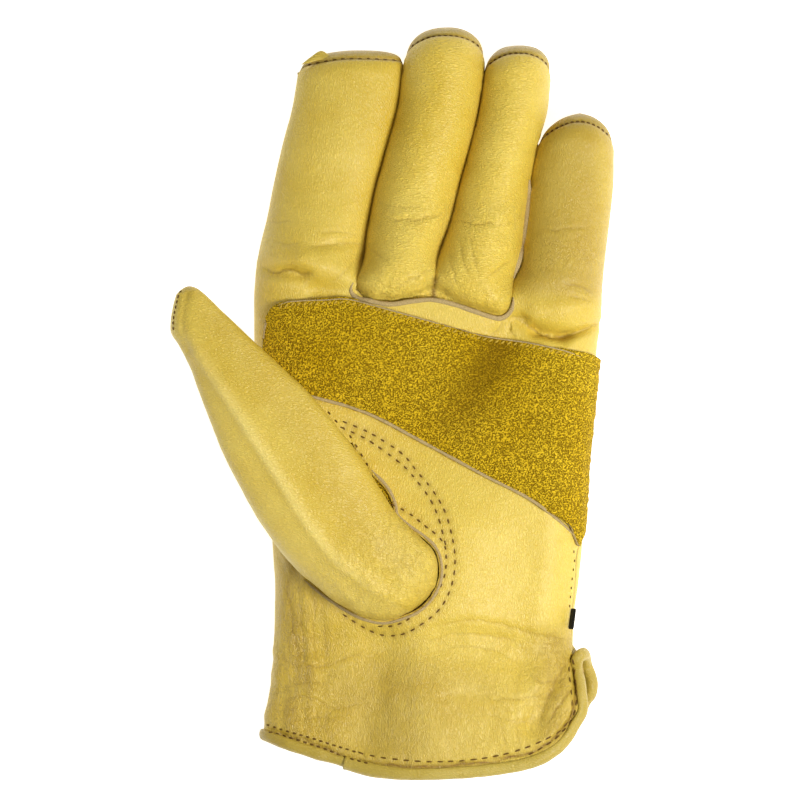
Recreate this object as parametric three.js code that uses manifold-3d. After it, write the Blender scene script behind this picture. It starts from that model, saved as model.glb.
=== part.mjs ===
// Left-hand leather driver glove, lying on its back with the palm up.
// Millimetres, +Z up. +Y runs from the cuff to the fingertips, +X from the thumb side to the little finger.
// The origin is on the resting surface, under the middle of the glove's bounding box.
//
// Each leather piece is a sheet of its real thickness. A sheet is laid out in grids over one shared outline:
// a front surface (palm side), a back surface, and side walls between the fingers. The glove stays hollow.
import * as THREE from "three";
import { mergeVertices } from "three/addons/utils/BufferGeometryUtils.js";
import Module from "manifold-3d";

const wasm = await Module();
wasm.setup();

// Driving dimensions.
const GRAIN_LEATHER = 1.5;
const SIDEWALL_LEATHER = 1.3;
const SUEDE = 1.3;
const BINDING_LEATHER = 1.1;
const SEAM_GAP = 0.3;
const CUT_TOLERANCE = 0.08;
const SLOT_HALF_GAP = 0.4;
const WIDEST = 11; // height of the silhouette line above the surface that the glove lies on
const BACK_RADIUS = 11;
const PALM_RADIUS = 15;
const LOW_SEAM = (-38 * Math.PI) / 180; // where front and back meet, below the silhouette line
const SLIT_TOP = -84;
const CUFF_LINE = -116; // where the columns of the cuff are measured
const CUFF_ROWS = 5; // rows of the grid from the free edge up to the first of the rows below
const HAND_ROWS = [-80, -62, -50, -40, -15, 12];
const FRONT_SLIT_BOTTOM = -104.6;
const SHIFT = { x: 0, y: 0.1, z: 0 };

// A table: column names, then one row for each station.
const table = (names, ...rows) =>
  rows.map((row) => Object.fromEntries(names.map((name, i) => [name, row[i]])));

// Edges of the hand seen from above. Below the finger crotches the slots carry on as lines of the grid.
const EDGES = table(
  ["y", "radial", "slot1", "slot2", "slot3", "ulnar"],
  [130, -29.5, 5.2, 31.6, 56.2, 77.0],
  [112, -32.2, 3.3, 31.1, 53.9, 76.0],
  [100, -34.2, 1.6, 29.4, 52.6, 75.6],
  [88, -37.5, -1.5, 26.6, 49.4, 75.4],
  [75, -40.3, -5.3, 23.0, 46.8, 75.3],
  [62, -43.0, -8.1, 19.7, 45.3, 73.9],
  [50, -45.8, -9.8, 15.6, 43.6, 72.5],
  [40, -46.9, -12.4, 14.1, 41.0, 71.5],
  [30, -47.1, -12.9, 14.0, 40.6, 71.0],
  [18, -46.8, -12.8, 13.9, 40.4, 69.5],
  [0, -45.2, -12.4, 13.7, 39.8, 68.2],
  [-20, -43.6, -11.6, 13.4, 39.0, 66.0],
  [-45, -41.1, -10.6, 13.0, 38.0, 64.8],
  [-60, -40.2, -10.2, 12.8, 37.4, 63.4],
  [-72, -40.2, -10.0, 12.6, 37.0, 61.7],
  [-84, -40.7, -9.8, 12.4, 36.6, 61.5],
  [-92, -41.4, -9.6, 12.2, 36.4, 62.8],
  [-100, -42.6, -9.4, 12.1, 36.3, 63.8],
  [-108, -43.6, -9.2, 12.0, 36.2, 64.0],
  [-114, -43.9, -9.0, 12.0, 36.2, 64.0],
  [-130, -43.9, -8.8, 12.0, 36.2, 64.0],
);

// The back's edge beside the slit curls outwards, past the front's edge.
const BACK_FLARE = table(
  ["y", "x"],
  [SLIT_TOP, 61.5],
  [-87, 64.6],
  [-91, 66.6],
  [-95, 67.2],
  [-100, 66.8],
  [-106, 65.4],
  [-130, 65.0],
);

// The side seam on the little-finger side, as an angle round the edge: 0 at the silhouette, positive above it.
const SIDE_SEAM = table(
  ["y", "angle"],
  [-15, -38],
  [-40, 0],
  [-50, 26],
  [-60, 24],
  [-70, 18],
  [-77, 14],
  [-86, 0],
  [-92, 0],
);

// Free edge of the cuff, front and back.
const CUFF = table(
  ["x", "front", "back"],
  [-46, -112.4, -112.4],
  [-35, -116.3, -115.4],
  [-27, -118.8, -117.6],
  [-16, -122.1, -120.2],
  [-2, -125.4, -122.6],
  [10, -126.0, -123.4],
  [22, -125.6, -123.2],
  [34, -124.5, -122.0],
  [45, -122.6, -119.8],
  [53, -119.4, -116.6],
  [58.5, -115.1, -113.0],
  [62, -109.8, -109.4],
  [64, FRONT_SLIT_BOTTOM, -106.0],
  [68, -98.0, -98.5],
);

// Height of the palm's front across the hand.
const PALM_CREST = table(
  ["y", "radial", "middle", "ulnar"],
  [45, 24.5, 24.5, 24.0],
  [30, 24.0, 24.0, 24.0],
  [10, 24.0, 22.6, 24.2],
  [-15, 25.0, 22.8, 25.6],
  [-45, 26.0, 24.6, 27.2],
  [-70, 25.0, 25.6, 26.6],
  [-90, 23.0, 25.0, 24.8],
  [-110, 23.4, 26.4, 25.4],
  [-128, 24.0, 27.6, 25.6],
);

// Height of each finger's front along its length.
const FINGER_CREST = table(
  ["y", "index", "middle", "ring", "little"],
  [128, 20.6, 23.4, 23.0, 22.0],
  [110, 21.0, 24.4, 23.8, 22.2],
  [90, 21.8, 25.2, 24.6, 22.6],
  [70, 23.2, 26.0, 25.6, 23.6],
  [52, 25.6, 28.0, 27.6, 25.2],
  [44, 26.4, 28.4, 28.0, 26.0],
  [34, 25.6, 27.6, 27.4, 26.6],
);

// Fingers between the edge lines. The crotches are the lower ends of the slots at either side.
const FINGERS = table(
  ["name", "left", "right", "tip", "corner", "square", "crotchLeft", "crotchRight", "tipRadius", "baseDip"],
  ["index", "radial", "slot1", 120.0, 7, 3.4, null, 38.3, 8, 0],
  ["middle", "slot1", "slot2", 127.8, 14, 2.5, 38.3, 41.5, 10, 0.3],
  ["ring", "slot2", "slot3", 121.0, 10, 2.5, 41.5, 34.3, 9, 0.3],
  ["little", "slot3", "ulnar", 98.6, 13, 2.1, 34.3, null, 10, 0],
);
const [INDEX, MIDDLE, RING, LITTLE] = FINGERS;

// The curved seam at the base of the middle and ring fingers.
const BASE_SEAM = table(
  ["x", "y"],
  [-12.3, 38.3],
  [-9.2, 35.5],
  [-1.3, 34.0],
  [6.6, 35.0],
  [13.7, 35.5],
  [20.7, 34.0],
  [26.7, 32.0],
  [32.6, 30.0],
  [36.7, 29.2],
  [39.4, 31.0],
  [40.5, 34.3],
);

// Main folds: a dent, or a bulge where the depth is negative, along a straight run.
const FOLDS = table(
  ["name", "x0", "y0", "x1", "y1", "width", "depth"],
  ["index base crease", -47, 45.5, -30, 43.5, 3.2, 2.2],
  ["index root", -46, 34.0, -16, 36.5, 5.0, 1.6],
  ["little base crease", 44, 26.0, 55, 23.0, 3.4, 2.6],
  ["little base crease end", 55, 23.0, 71, 27.5, 3.4, 2.6],
  ["palm hollow", 14, 8.0, 40, 21.0, 9.0, 1.6],
  ["palm line", -10, 6.0, 30, -22.0, 12.0, 1.2],
  ["wrist waist", -40, -80, 60, -84, 7.0, 1.4],
  ["heel swell", 42, -35, 36, -62, 14.0, -1.2],
  ["cuff corner dent", 56, -94, 42, -113, 4.5, 1.8],
  ["cuff left dent", -38, -98, -20, -104, 7.0, 1.0],
  ["cuff swell", -5, -108, 30, -106, 10.0, -0.8],
);

// The suede patch: its upper and lower edges, from the thumb side to the little-finger side.
const PATCH_EDGES = table(
  ["x", "top", "bottom"],
  [-43.2, 22.0, 18.0],
  [-42.0, 29.6, 10.4],
  [-38.0, 33.6, 6.6],
  [-32.0, 34.7, 3.4],
  [-23.2, 35.0, 0.7],
  [-15.2, 35.3, -1.5],
  [-6.0, 33.0, -5.0],
  [6.7, 29.5, -11.7],
  [20.0, 25.8, -18.9],
  [32.0, 22.6, -25.4],
  [46.6, 20.4, -33.0],
  [57.6, 18.0, -41.3],
  [62.5, 16.4, -46.4],
  [66.5, 14.6, -48.6],
  [74.0, 13.0, -49.4],
);

// Stations of the cuff's binding, in order. It starts on the front, left of the middle, and ends there.
// The angle turns from straight up the hand towards the thumb side.
const BINDING_FRONT = table(
  ["x", "angle"],
  [-16, 0],
  [-11, 0],
  [-5, 0],
  [1, 0],
  [7, 0],
  [13, 0],
  [19, 0],
  [25, 0],
  [31, 0],
  [37, 0],
  [43, 0],
  [48, 0],
  [52.5, 18],
  [56.5, 36],
  [59.8, 52],
  [62.2, 70],
);
const BINDING_FRONT_SLIT = table(["y"], [-104.6], [-99.7], [-94.8], [-89.8]);
const BINDING_APEX = table(
  ["x", "y", "z", "inX", "inY"],
  [62.4, -85.4, 14.6, -0.8, 0.6],
  [63.6, -84.4, 12.2, -0.6, 0.8],
  [65.0, -85.2, 9.4, -0.75, 0.66],
);
const BINDING_BACK_SLIT = table(["y"], [-89.6], [-94.3], [-99]);
const BINDING_BACK = table(
  ["x", "angle"],
  [65.6, 66],
  [64.0, 50],
  [60.5, 34],
  [56, 18],
  [50, 0],
  [42, 0],
  [34, 0],
  [25, 0],
  [16, 0],
  [7, 0],
  [-2, 0],
  [-11, 0],
  [-20, 0],
  [-29, 0],
  [-35, 0],
);
const BINDING_THUMB_SIDE = table(["angle"], [-64], [-40], [-16], [10], [34], [56]);
const BINDING_END = table(["x"], [-33], [-27], [-21], [-16.8]);

// Thumb sections from the palm end to the tip: both ends seen from above, and the lowest and highest point.
const THUMB = table(
  ["leftX", "leftY", "rightX", "rightY", "low", "high"],
  [6.0, -68.0, 13.0, -60.5, 14, 23.0],
  [1.0, -72.4, 14.9, -57.2, 12, 32.0],
  [-4.6, -73.4, 14.8, -52.0, 12, 37.0],
  [-16.4, -69.0, 9.6, -45.6, 12, 41.2],
  [-29.6, -59.2, 1.2, -37.0, 15, 43.4],
  [-41.0, -45.9, -4.6, -28.2, 19, 44.6],
  [-50.5, -30.3, -10.6, -18.6, 24, 45.4],
  [-58.7, -13.9, -20.4, -5.6, 27.4, 45.8],
  [-65.1, 2.4, -32.4, 7.4, 28.0, 45.6],
  [-70.6, 14.6, -45.6, 19.2, 28.4, 44.6],
  [-74.9, 23.4, -56.0, 27.8, 29.4, 43.6],
  [-75.2, 30.6, -62.4, 34.2, 30.8, 42.6],
  [-73.4, 36.4, -66.2, 38.2, 33.0, 41.4],
);

const mix = (a, b, t) => a + (b - a) * t;
const clamp = (t) => Math.min(1, Math.max(0, t));
const ease = (t) => clamp(t) ** 2 * (3 - 2 * clamp(t));
const quarter = (t) => (t >= 1 ? 1 : Math.sqrt(Math.max(0, 1 - (1 - t) ** 2)));
const degrees = (angle) => (angle * Math.PI) / 180;

// A smooth function through one column of a table, against another column.
function curve(rows, along, key) {
  const sorted = [...rows].sort((a, b) => a[along] - b[along]);
  const at = sorted.map((row) => row[along]);
  const value = sorted.map((row) => row[key]);
  const slope = value.map((_, i) => {
    const before = Math.max(0, i - 1);
    const after = Math.min(value.length - 1, i + 1);
    return (value[after] - value[before]) / (at[after] - at[before]);
  });
  return (t) => {
    const s = Math.min(at[at.length - 1], Math.max(at[0], t));
    let i = 0;
    while (i < at.length - 2 && s > at[i + 1]) i += 1;
    const h = at[i + 1] - at[i];
    const k = (s - at[i]) / h;
    const start = (1 + 2 * k) * (1 - k) ** 2 * value[i] + k * (1 - k) ** 2 * h * slope[i];
    return start + k * k * (3 - 2 * k) * value[i + 1] + k * k * (k - 1) * h * slope[i + 1];
  };
}

const edge = Object.fromEntries(
  ["radial", "slot1", "slot2", "slot3", "ulnar"].map((key) => [key, curve(EDGES, "y", key)]),
);
const flare = curve(BACK_FLARE, "y", "x");
const backUlnar = (y) => (y < SLIT_TOP ? flare(y) : edge.ulnar(y));
const sideSeam = curve(SIDE_SEAM, "y", "angle");
const cuffFront = curve(CUFF, "x", "front");
const cuffBack = curve(CUFF, "x", "back");
const baseSeam = curve(BASE_SEAM, "x", "y");
const patchTop = curve(PATCH_EDGES, "x", "top");
const patchBottom = curve(PATCH_EDGES, "x", "bottom");
const fingerCrest = Object.fromEntries(FINGERS.map(({ name }) => [name, curve(FINGER_CREST, "y", name)]));
const palmCrest = Object.fromEntries(
  ["radial", "middle", "ulnar"].map((key) => [key, curve(PALM_CREST, "y", key)]),
);

// Height of the palm's front at its crest lines, blended across the hand.
function palmHeight(x, y) {
  const u = clamp((x - edge.radial(y)) / (edge.ulnar(y) - edge.radial(y)));
  const middle = palmCrest.middle(y);
  const side = u < 0.5 ? palmCrest.radial(y) : palmCrest.ulnar(y);
  return mix(middle, side, ease(Math.abs(u - 0.5) / 0.36));
}

// Depth of all folds at a place.
function folds(x, y) {
  let depth = 0;
  for (const fold of FOLDS) {
    const run = [fold.x1 - fold.x0, fold.y1 - fold.y0];
    const share = clamp(((x - fold.x0) * run[0] + (y - fold.y0) * run[1]) / (run[0] ** 2 + run[1] ** 2));
    const away = Math.hypot(x - fold.x0 - share * run[0], y - fold.y0 - share * run[1]);
    depth += fold.depth * Math.exp(-((away / fold.width) ** 2));
  }
  return depth;
}

// How deep a slot is cut beside a finger: nothing at its crotch, the full depth a little higher up.
const slotDepth = (y, crotch, start) => mix(start, 1, ease((y - crotch) / 12));
const halfGap = (y, crotch) => SLOT_HALF_GAP * ease((y - crotch) / 2);

// Top of a finger's outline, at a share u from -1 to 1 across it.
const fingertip = (finger, u) =>
  finger.tip - finger.corner * (1 - (1 - Math.min(1, Math.abs(u)) ** finger.square) ** (1 / finger.square));

// A finger's edges, centre and half width at a height y along it.
function span(finger, y) {
  const gapLeft = finger.crotchLeft === null ? 0 : halfGap(y, finger.crotchLeft);
  const gapRight = finger.crotchRight === null ? 0 : halfGap(y, finger.crotchRight);
  const left = edge[finger.left](y) + gapLeft;
  const right = edge[finger.right](y) - gapRight;
  return { left, right, centre: (left + right) / 2, half: (right - left) / 2 };
}

// Share of the height that the front keeps near the edges of a finger.
function fingerShare(finger, x, y) {
  const { left, right, centre, half } = span(finger, y);
  const leftDepth = finger.crotchLeft === null ? 1 : slotDepth(y, finger.crotchLeft, finger.baseDip);
  const rightDepth = finger.crotchRight === null ? 1 : slotDepth(y, finger.crotchRight, finger.baseDip);
  const tip = fingertip(finger, (x - centre) / half) - y;
  return (
    (1 - leftDepth * (1 - quarter((x - left) / half))) *
    (1 - rightDepth * (1 - quarter((right - x) / half))) *
    quarter(tip / finger.tipRadius)
  );
}

// The ulnar edge of the front rises and flattens beside the slit, where the cuff stands open.
const ulnarDepth = (y) => 1 - 0.55 * ease((SLIT_TOP - y) / 18);
const ulnarProfile = (t, y) => mix(quarter(t), 1 - (1 - clamp(t)) ** 2, ease((SLIT_TOP - y) / 10));
const palmShare = (x, y) =>
  quarter((x - edge.radial(y)) / radialRadius(y)) *
  (1 - ulnarDepth(y) * (1 - ulnarProfile((edge.ulnar(y) - x) / ulnarRadius(y), y)));

// Rounding radius along the outer edges: the palm's radius, and half a finger's width up the finger.
const radialRadius = (y) => mix(PALM_RADIUS, span(INDEX, y).half, ease((y - 20) / 18));
const ulnarRadius = (y) => mix(PALM_RADIUS, span(LITTLE, y).half, ease((y - 16) / 18));

// Outer height of the front of the palm, and of the index and little fingers that are one piece with it.
function palmFront(x, y) {
  return WIDEST + (palmHeight(x, y) - folds(x, y) - WIDEST) * palmShare(x, y);
}

function fingerFront(finger, x, y) {
  const onPalm = finger === INDEX || finger === LITTLE;
  const crotch = finger.crotchLeft ?? finger.crotchRight;
  const crest = onPalm
    ? mix(palmHeight(x, y), fingerCrest[finger.name](y), ease((y - crotch) / 9))
    : fingerCrest[finger.name](y);
  const full = WIDEST + (crest - folds(x, y) - WIDEST) * fingerShare(finger, x, y);
  if (onPalm) return y <= crotch ? palmFront(x, y) : full;
  // The separate fronts dive under the palm's edge at the base seam.
  const above = y - baseSeam(x);
  const under = palmFront(x, Math.min(y, baseSeam(x))) - GRAIN_LEATHER - 3 * SEAM_GAP;
  return mix(under, full, quarter((above - 0.5) / 8) * ease((above - 0.5) / 2));
}

// Outer height of the back at a distance d from an edge of a given depth. The cuff's end lifts a little.
const cuffLift = (y) => 2.5 * ease((-94 - y) / 14);
const backHeight = (d, y, depth = 1) => mix(cuffLift(y), WIDEST, depth * (1 - quarter(d / BACK_RADIUS)));

// A point on a front surface, followed by the surface's normal there.
function frontPoint(front, x, y) {
  const step = 0.04;
  const slopeX = (front(x + step, y) - front(x - step, y)) / (2 * step);
  const slopeY = (front(x, y + step) - front(x, y - step)) / (2 * step);
  const length = Math.hypot(slopeX, slopeY, 1);
  return [x, y, front(x, y), -slopeX / length, -slopeY / length, 1 / length];
}

// A point on the outline of a section, at an angle round the edge: 0 at the silhouette, 90 degrees on top.
function sidePoint(edgeX, sign, angle, y, radius, front) {
  if (angle > degrees(8)) return frontPoint(front, edgeX + sign * radius * (1 - Math.cos(angle)), y);
  const top = angle >= 0;
  const d = (top ? radius : BACK_RADIUS) * (1 - Math.cos(angle));
  const x = edgeX + sign * d;
  if (top && sign < 0 && y < SLIT_TOP - 2) {
    return [x, y, front(x, y), ...frontPoint(front, x - 0.1, y).slice(3)];
  }
  return [x, y, top ? front(x, y) : backHeight(d, y), -sign * Math.cos(angle), 0, Math.sin(angle)];
}

// Seam between front and back, as an angle round the edge. It climbs to the silhouette at the fingertips,
// lies on the palm side between the patch and the slit, and runs out to the silhouette along the slit.
const nearCorner = (finger, y) => ease((y - (fingertip(finger, 1) - 6)) / 6);
const radialSeam = (y) => LOW_SEAM * (1 - nearCorner(INDEX, y));
const ulnarSeam = (y) => (y > -15 ? LOW_SEAM * (1 - nearCorner(LITTLE, y)) : degrees(sideSeam(y)));
const seamStep = (0.8 * SEAM_GAP) / BACK_RADIUS;
const tipSeam = (u) => 2.5 * (1 - Math.abs(u) ** 5); // how far the tip seam lies in from the silhouette

// A grid of quads. at(u, v) gives points with u and v from 0 to 1; flip turns its faces round.
const grid = (columns, rows, at, flip = false) => ({ columns, rows, at, flip });

// Welds grids at their shared edges and gives the sheet its thickness. Grown, it is larger by a gap all round.
// Where a grid states the normal of a point on the sheet's edge, the edge is square to it.
function sheet(grids, thickness, grow = 0) {
  const WELD = 1e-3;
  const found = new Map();
  const points = [];
  const faces = [];
  const exact = [];
  const weld = ([x, y, z, ...normal]) => {
    const key = [x, y, z].map((c) => Math.round(c / WELD)).join();
    if (!found.has(key)) {
      found.set(key, points.push(new THREE.Vector3(x, y, z)) - 1);
      exact.push(normal.length ? new THREE.Vector3(...normal) : null);
    }
    return found.get(key);
  };
  const face = (a, b, c) => {
    if (a !== b && b !== c && a !== c) faces.push([a, b, c]);
  };
  for (const { columns, rows, at, flip } of grids) {
    const id = [];
    for (let j = 0; j <= rows; j += 1) {
      id.push([]);
      for (let i = 0; i <= columns; i += 1) id[j].push(weld(at(i / columns, j / rows)));
    }
    for (let j = 0; j < rows; j += 1) {
      for (let i = 0; i < columns; i += 1) {
        const [a, b, c, d] = [id[j][i], id[j][i + 1], id[j + 1][i + 1], id[j + 1][i]];
        if (flip) {
          face(a, c, b);
          face(a, d, c);
        } else {
          face(a, b, c);
          face(a, c, d);
        }
      }
    }
  }
  const normals = points.map(() => new THREE.Vector3());
  const cross = (a, b, c) => points[b].clone().sub(points[a]).cross(points[c].clone().sub(points[a]));
  for (const [a, b, c] of faces) {
    const area = cross(a, b, c);
    for (const i of [a, b, c]) normals[i].add(area);
  }
  for (const normal of normals) normal.normalize();
  const n = points.length;
  const edges = new Set(faces.flatMap(([a, b, c]) => [`${a},${b}`, `${b},${c}`, `${c},${a}`]));
  const rim = [...edges]
    .map((key) => key.split(",").map(Number))
    .filter(([a, b]) => !edges.has(`${b},${a}`));
  for (const i of rim.flat()) if (exact[i]) normals[i] = exact[i];
  const beyond = points.map(() => new THREE.Vector3());
  for (const [a, b] of rim) {
    const along = points[b].clone().sub(points[a]).normalize();
    for (const i of [a, b]) beyond[i].add(along.clone().cross(normals[i]));
  }
  const base = points.map((p, i) => p.clone().addScaledVector(beyond[i].normalize(), grow));
  const outer = base.map((p, i) => p.clone().addScaledVector(normals[i], grow));
  const inner = base.map((p, i) => p.clone().addScaledVector(normals[i], -thickness - grow));
  const closed = [
    ...faces,
    ...faces.map(([a, b, c]) => [c + n, b + n, a + n]),
    ...rim.flatMap(([a, b]) => [
      [b, a, a + n],
      [b, a + n, b + n],
    ]),
  ];
  return toManifold(solid([...outer, ...inner], closed));
}

function solid(points, faces) {
  const geometry = new THREE.BufferGeometry();
  const places = points.flatMap((p) => [p.x, p.y, p.z]);
  geometry.setAttribute("position", new THREE.Float32BufferAttribute(places, 3));
  geometry.setIndex(faces.flat());
  return geometry;
}

function toManifold(geometry) {
  const merged = mergeVertices(geometry, 1e-4);
  const vertProperties = new Float32Array(merged.attributes.position.array);
  const triVerts = new Uint32Array(merged.index.array);
  return new wasm.Manifold(new wasm.Mesh({ numProp: 3, vertProperties, triVerts }));
}

function fromManifold(body) {
  const { vertProperties, triVerts } = body.getMesh();
  const geometry = new THREE.BufferGeometry();
  geometry.setAttribute("position", new THREE.BufferAttribute(new Float32Array(vertProperties), 3));
  geometry.setIndex(new THREE.BufferAttribute(new Uint32Array(triVerts), 1));
  return geometry;
}

// Cuts the grown neighbours out of a body and keeps the largest part that is left.
function trimmed(body, ...neighbours) {
  const left = neighbours.reduce((rest, neighbour) => rest.subtract(neighbour), body).simplify(CUT_TOLERANCE);
  return left.decompose().sort((a, b) => b.volume() - a.volume())[0];
}

// Columns of the front round an outer edge: from the seam, round the silhouette, to where the top is flat.
const aroundRadial = (t, y, front) =>
  sidePoint(edge.radial(y), 1, mix(radialSeam(y) + seamStep, Math.PI / 2, t), y, radialRadius(y), front);
const aroundUlnar = (t, y, front) =>
  sidePoint(edge.ulnar(y), -1, mix(Math.PI / 2, ulnarSeam(y) + seamStep, t), y, ulnarRadius(y), front);

// The rest of the index and little columns, from the flat top to the slot line.
function indexInner(t, y, front) {
  const right = span(INDEX, y).right;
  const x = right - (right - edge.radial(y) - radialRadius(y)) * (1 - Math.sin((t * Math.PI) / 2));
  return [x, y, front(x, y)];
}
function littleInner(t, y, front) {
  const left = span(LITTLE, y).left;
  const x = left + (edge.ulnar(y) - ulnarRadius(y) - left) * (1 - Math.cos((t * Math.PI) / 2));
  return [x, y, front(x, y)];
}

// Height y of a row: rows are even up to the fingertip's rounding, then follow it to the tip seam.
const FINGER_ROWS = 5;
const TIP_ROWS = 4;
const BEND = FINGER_ROWS / (FINGER_ROWS + TIP_ROWS);
function rowHeight(finger, start, u, v) {
  const top = fingertip(finger, u);
  if (v < BEND) return mix(start, top - finger.tipRadius, v / BEND);
  const from = Math.acos(1 - (tipSeam(u) + 1.6 * SEAM_GAP) / finger.tipRadius);
  return top - finger.tipRadius * (1 - Math.cos(mix(Math.PI / 2, from, (v - BEND) / (1 - BEND))));
}

// Height y of a row on the hand, between the cuff's free edge and a finger's base, the same front and back.
const ROWS = CUFF_ROWS + HAND_ROWS.length;
function handRow(v, bottom, top) {
  const row = Math.round(v * ROWS);
  if (row < CUFF_ROWS) return mix(bottom, HAND_ROWS[0], row / CUFF_ROWS);
  return row < ROWS ? HAND_ROWS[row - CUFF_ROWS] : top;
}

// The palm, with the fronts of the index and little fingers in one piece.
function palmGrids() {
  const column = (place, top) => (u, v) => place(u, handRow(v, cuffFront(place(u, CUFF_LINE)[0]), top(u)));
  const indexFront = (x, y) => fingerFront(INDEX, x, y);
  const littleFront = (x, y) => fingerFront(LITTLE, x, y);
  const indexCrotch = () => INDEX.crotchRight;
  const littleCrotch = () => LITTLE.crotchLeft;
  const middleX = (u, y) => mix(edge.slot1(y), edge.slot3(y), u);
  const palmRadial = grid(7, ROWS, column((u, y) => aroundRadial(u, y, palmFront), indexCrotch));
  const palmIndex = grid(4, ROWS, column((u, y) => indexInner(u, y, palmFront), indexCrotch));
  const palmMiddle = grid(
    10,
    ROWS,
    column(
      (u, y) => [middleX(u, y), y, palmFront(middleX(u, y), y)],
      (u) => baseSeam(mix(edge.slot1(INDEX.crotchRight), edge.slot3(LITTLE.crotchLeft), u)),
    ),
  );
  const palmLittle = grid(4, ROWS, column((u, y) => littleInner(u, y, palmFront), littleCrotch));
  const palmUlnar = grid(7, ROWS, column((u, y) => aroundUlnar(u, y, palmFront), littleCrotch));
  const indexRadial = grid(7, FINGER_ROWS + TIP_ROWS, (t, v) => {
    const y = rowHeight(INDEX, INDEX.crotchRight, -Math.cos((t * Math.PI) / 2), v);
    return aroundRadial(t, y, indexFront);
  });
  const indexSlot = grid(4, FINGER_ROWS + TIP_ROWS, (t, v) => {
    const y = rowHeight(INDEX, INDEX.crotchRight, Math.sin((t * Math.PI) / 2), v);
    return indexInner(t, y, indexFront);
  });
  const littleSlot = grid(4, FINGER_ROWS + TIP_ROWS, (t, v) => {
    const y = rowHeight(LITTLE, LITTLE.crotchLeft, -Math.cos((t * Math.PI) / 2), v);
    return littleInner(t, y, littleFront);
  });
  const littleUlnar = grid(7, FINGER_ROWS + TIP_ROWS, (t, v) => {
    const y = rowHeight(LITTLE, LITTLE.crotchLeft, Math.sin((t * Math.PI) / 2), v);
    return aroundUlnar(t, y, littleFront);
  });
  const hand = [palmRadial, palmIndex, palmMiddle, palmLittle, palmUlnar];
  return [...hand, indexRadial, indexSlot, littleSlot, littleUlnar];
}

// A middle or ring finger front, with its base tucked under the palm's edge.
function fingerGrids(finger) {
  const TUCK = 3.5;
  const TUCK_ROWS = 2;
  const front = (x, y) => fingerFront(finger, x, y);
  return [
    grid(11, TUCK_ROWS + FINGER_ROWS + TIP_ROWS, (s, row) => {
      const u = -Math.cos(s * Math.PI);
      const start = baseSeam(mix(edge[finger.left](36), edge[finger.right](36), (u + 1) / 2));
      const v = (row * (TUCK_ROWS + FINGER_ROWS + TIP_ROWS) - TUCK_ROWS) / (FINGER_ROWS + TIP_ROWS);
      const y = v < 0 ? start - TUCK * (row === 0 ? 1 : 0.4) : rowHeight(finger, start + 2, u, v);
      const { left, right } = span(finger, y);
      const side = clearOfSlot(finger, y);
      const x = mix(left + side.left, right - side.right, (u + 1) / 2);
      return row === 1 ? frontPoint(front, x, y) : [x, y, front(x, y)];
    }),
  ];
}

// Below the crotches the finger fronts keep clear of their neighbours' seams.
const clearOfSlot = (finger, y) => ({
  left: SLOT_HALF_GAP * (1 - ease((y - finger.crotchLeft) / 2)),
  right: SLOT_HALF_GAP * (1 - ease((y - finger.crotchRight) / 2)),
});

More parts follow.
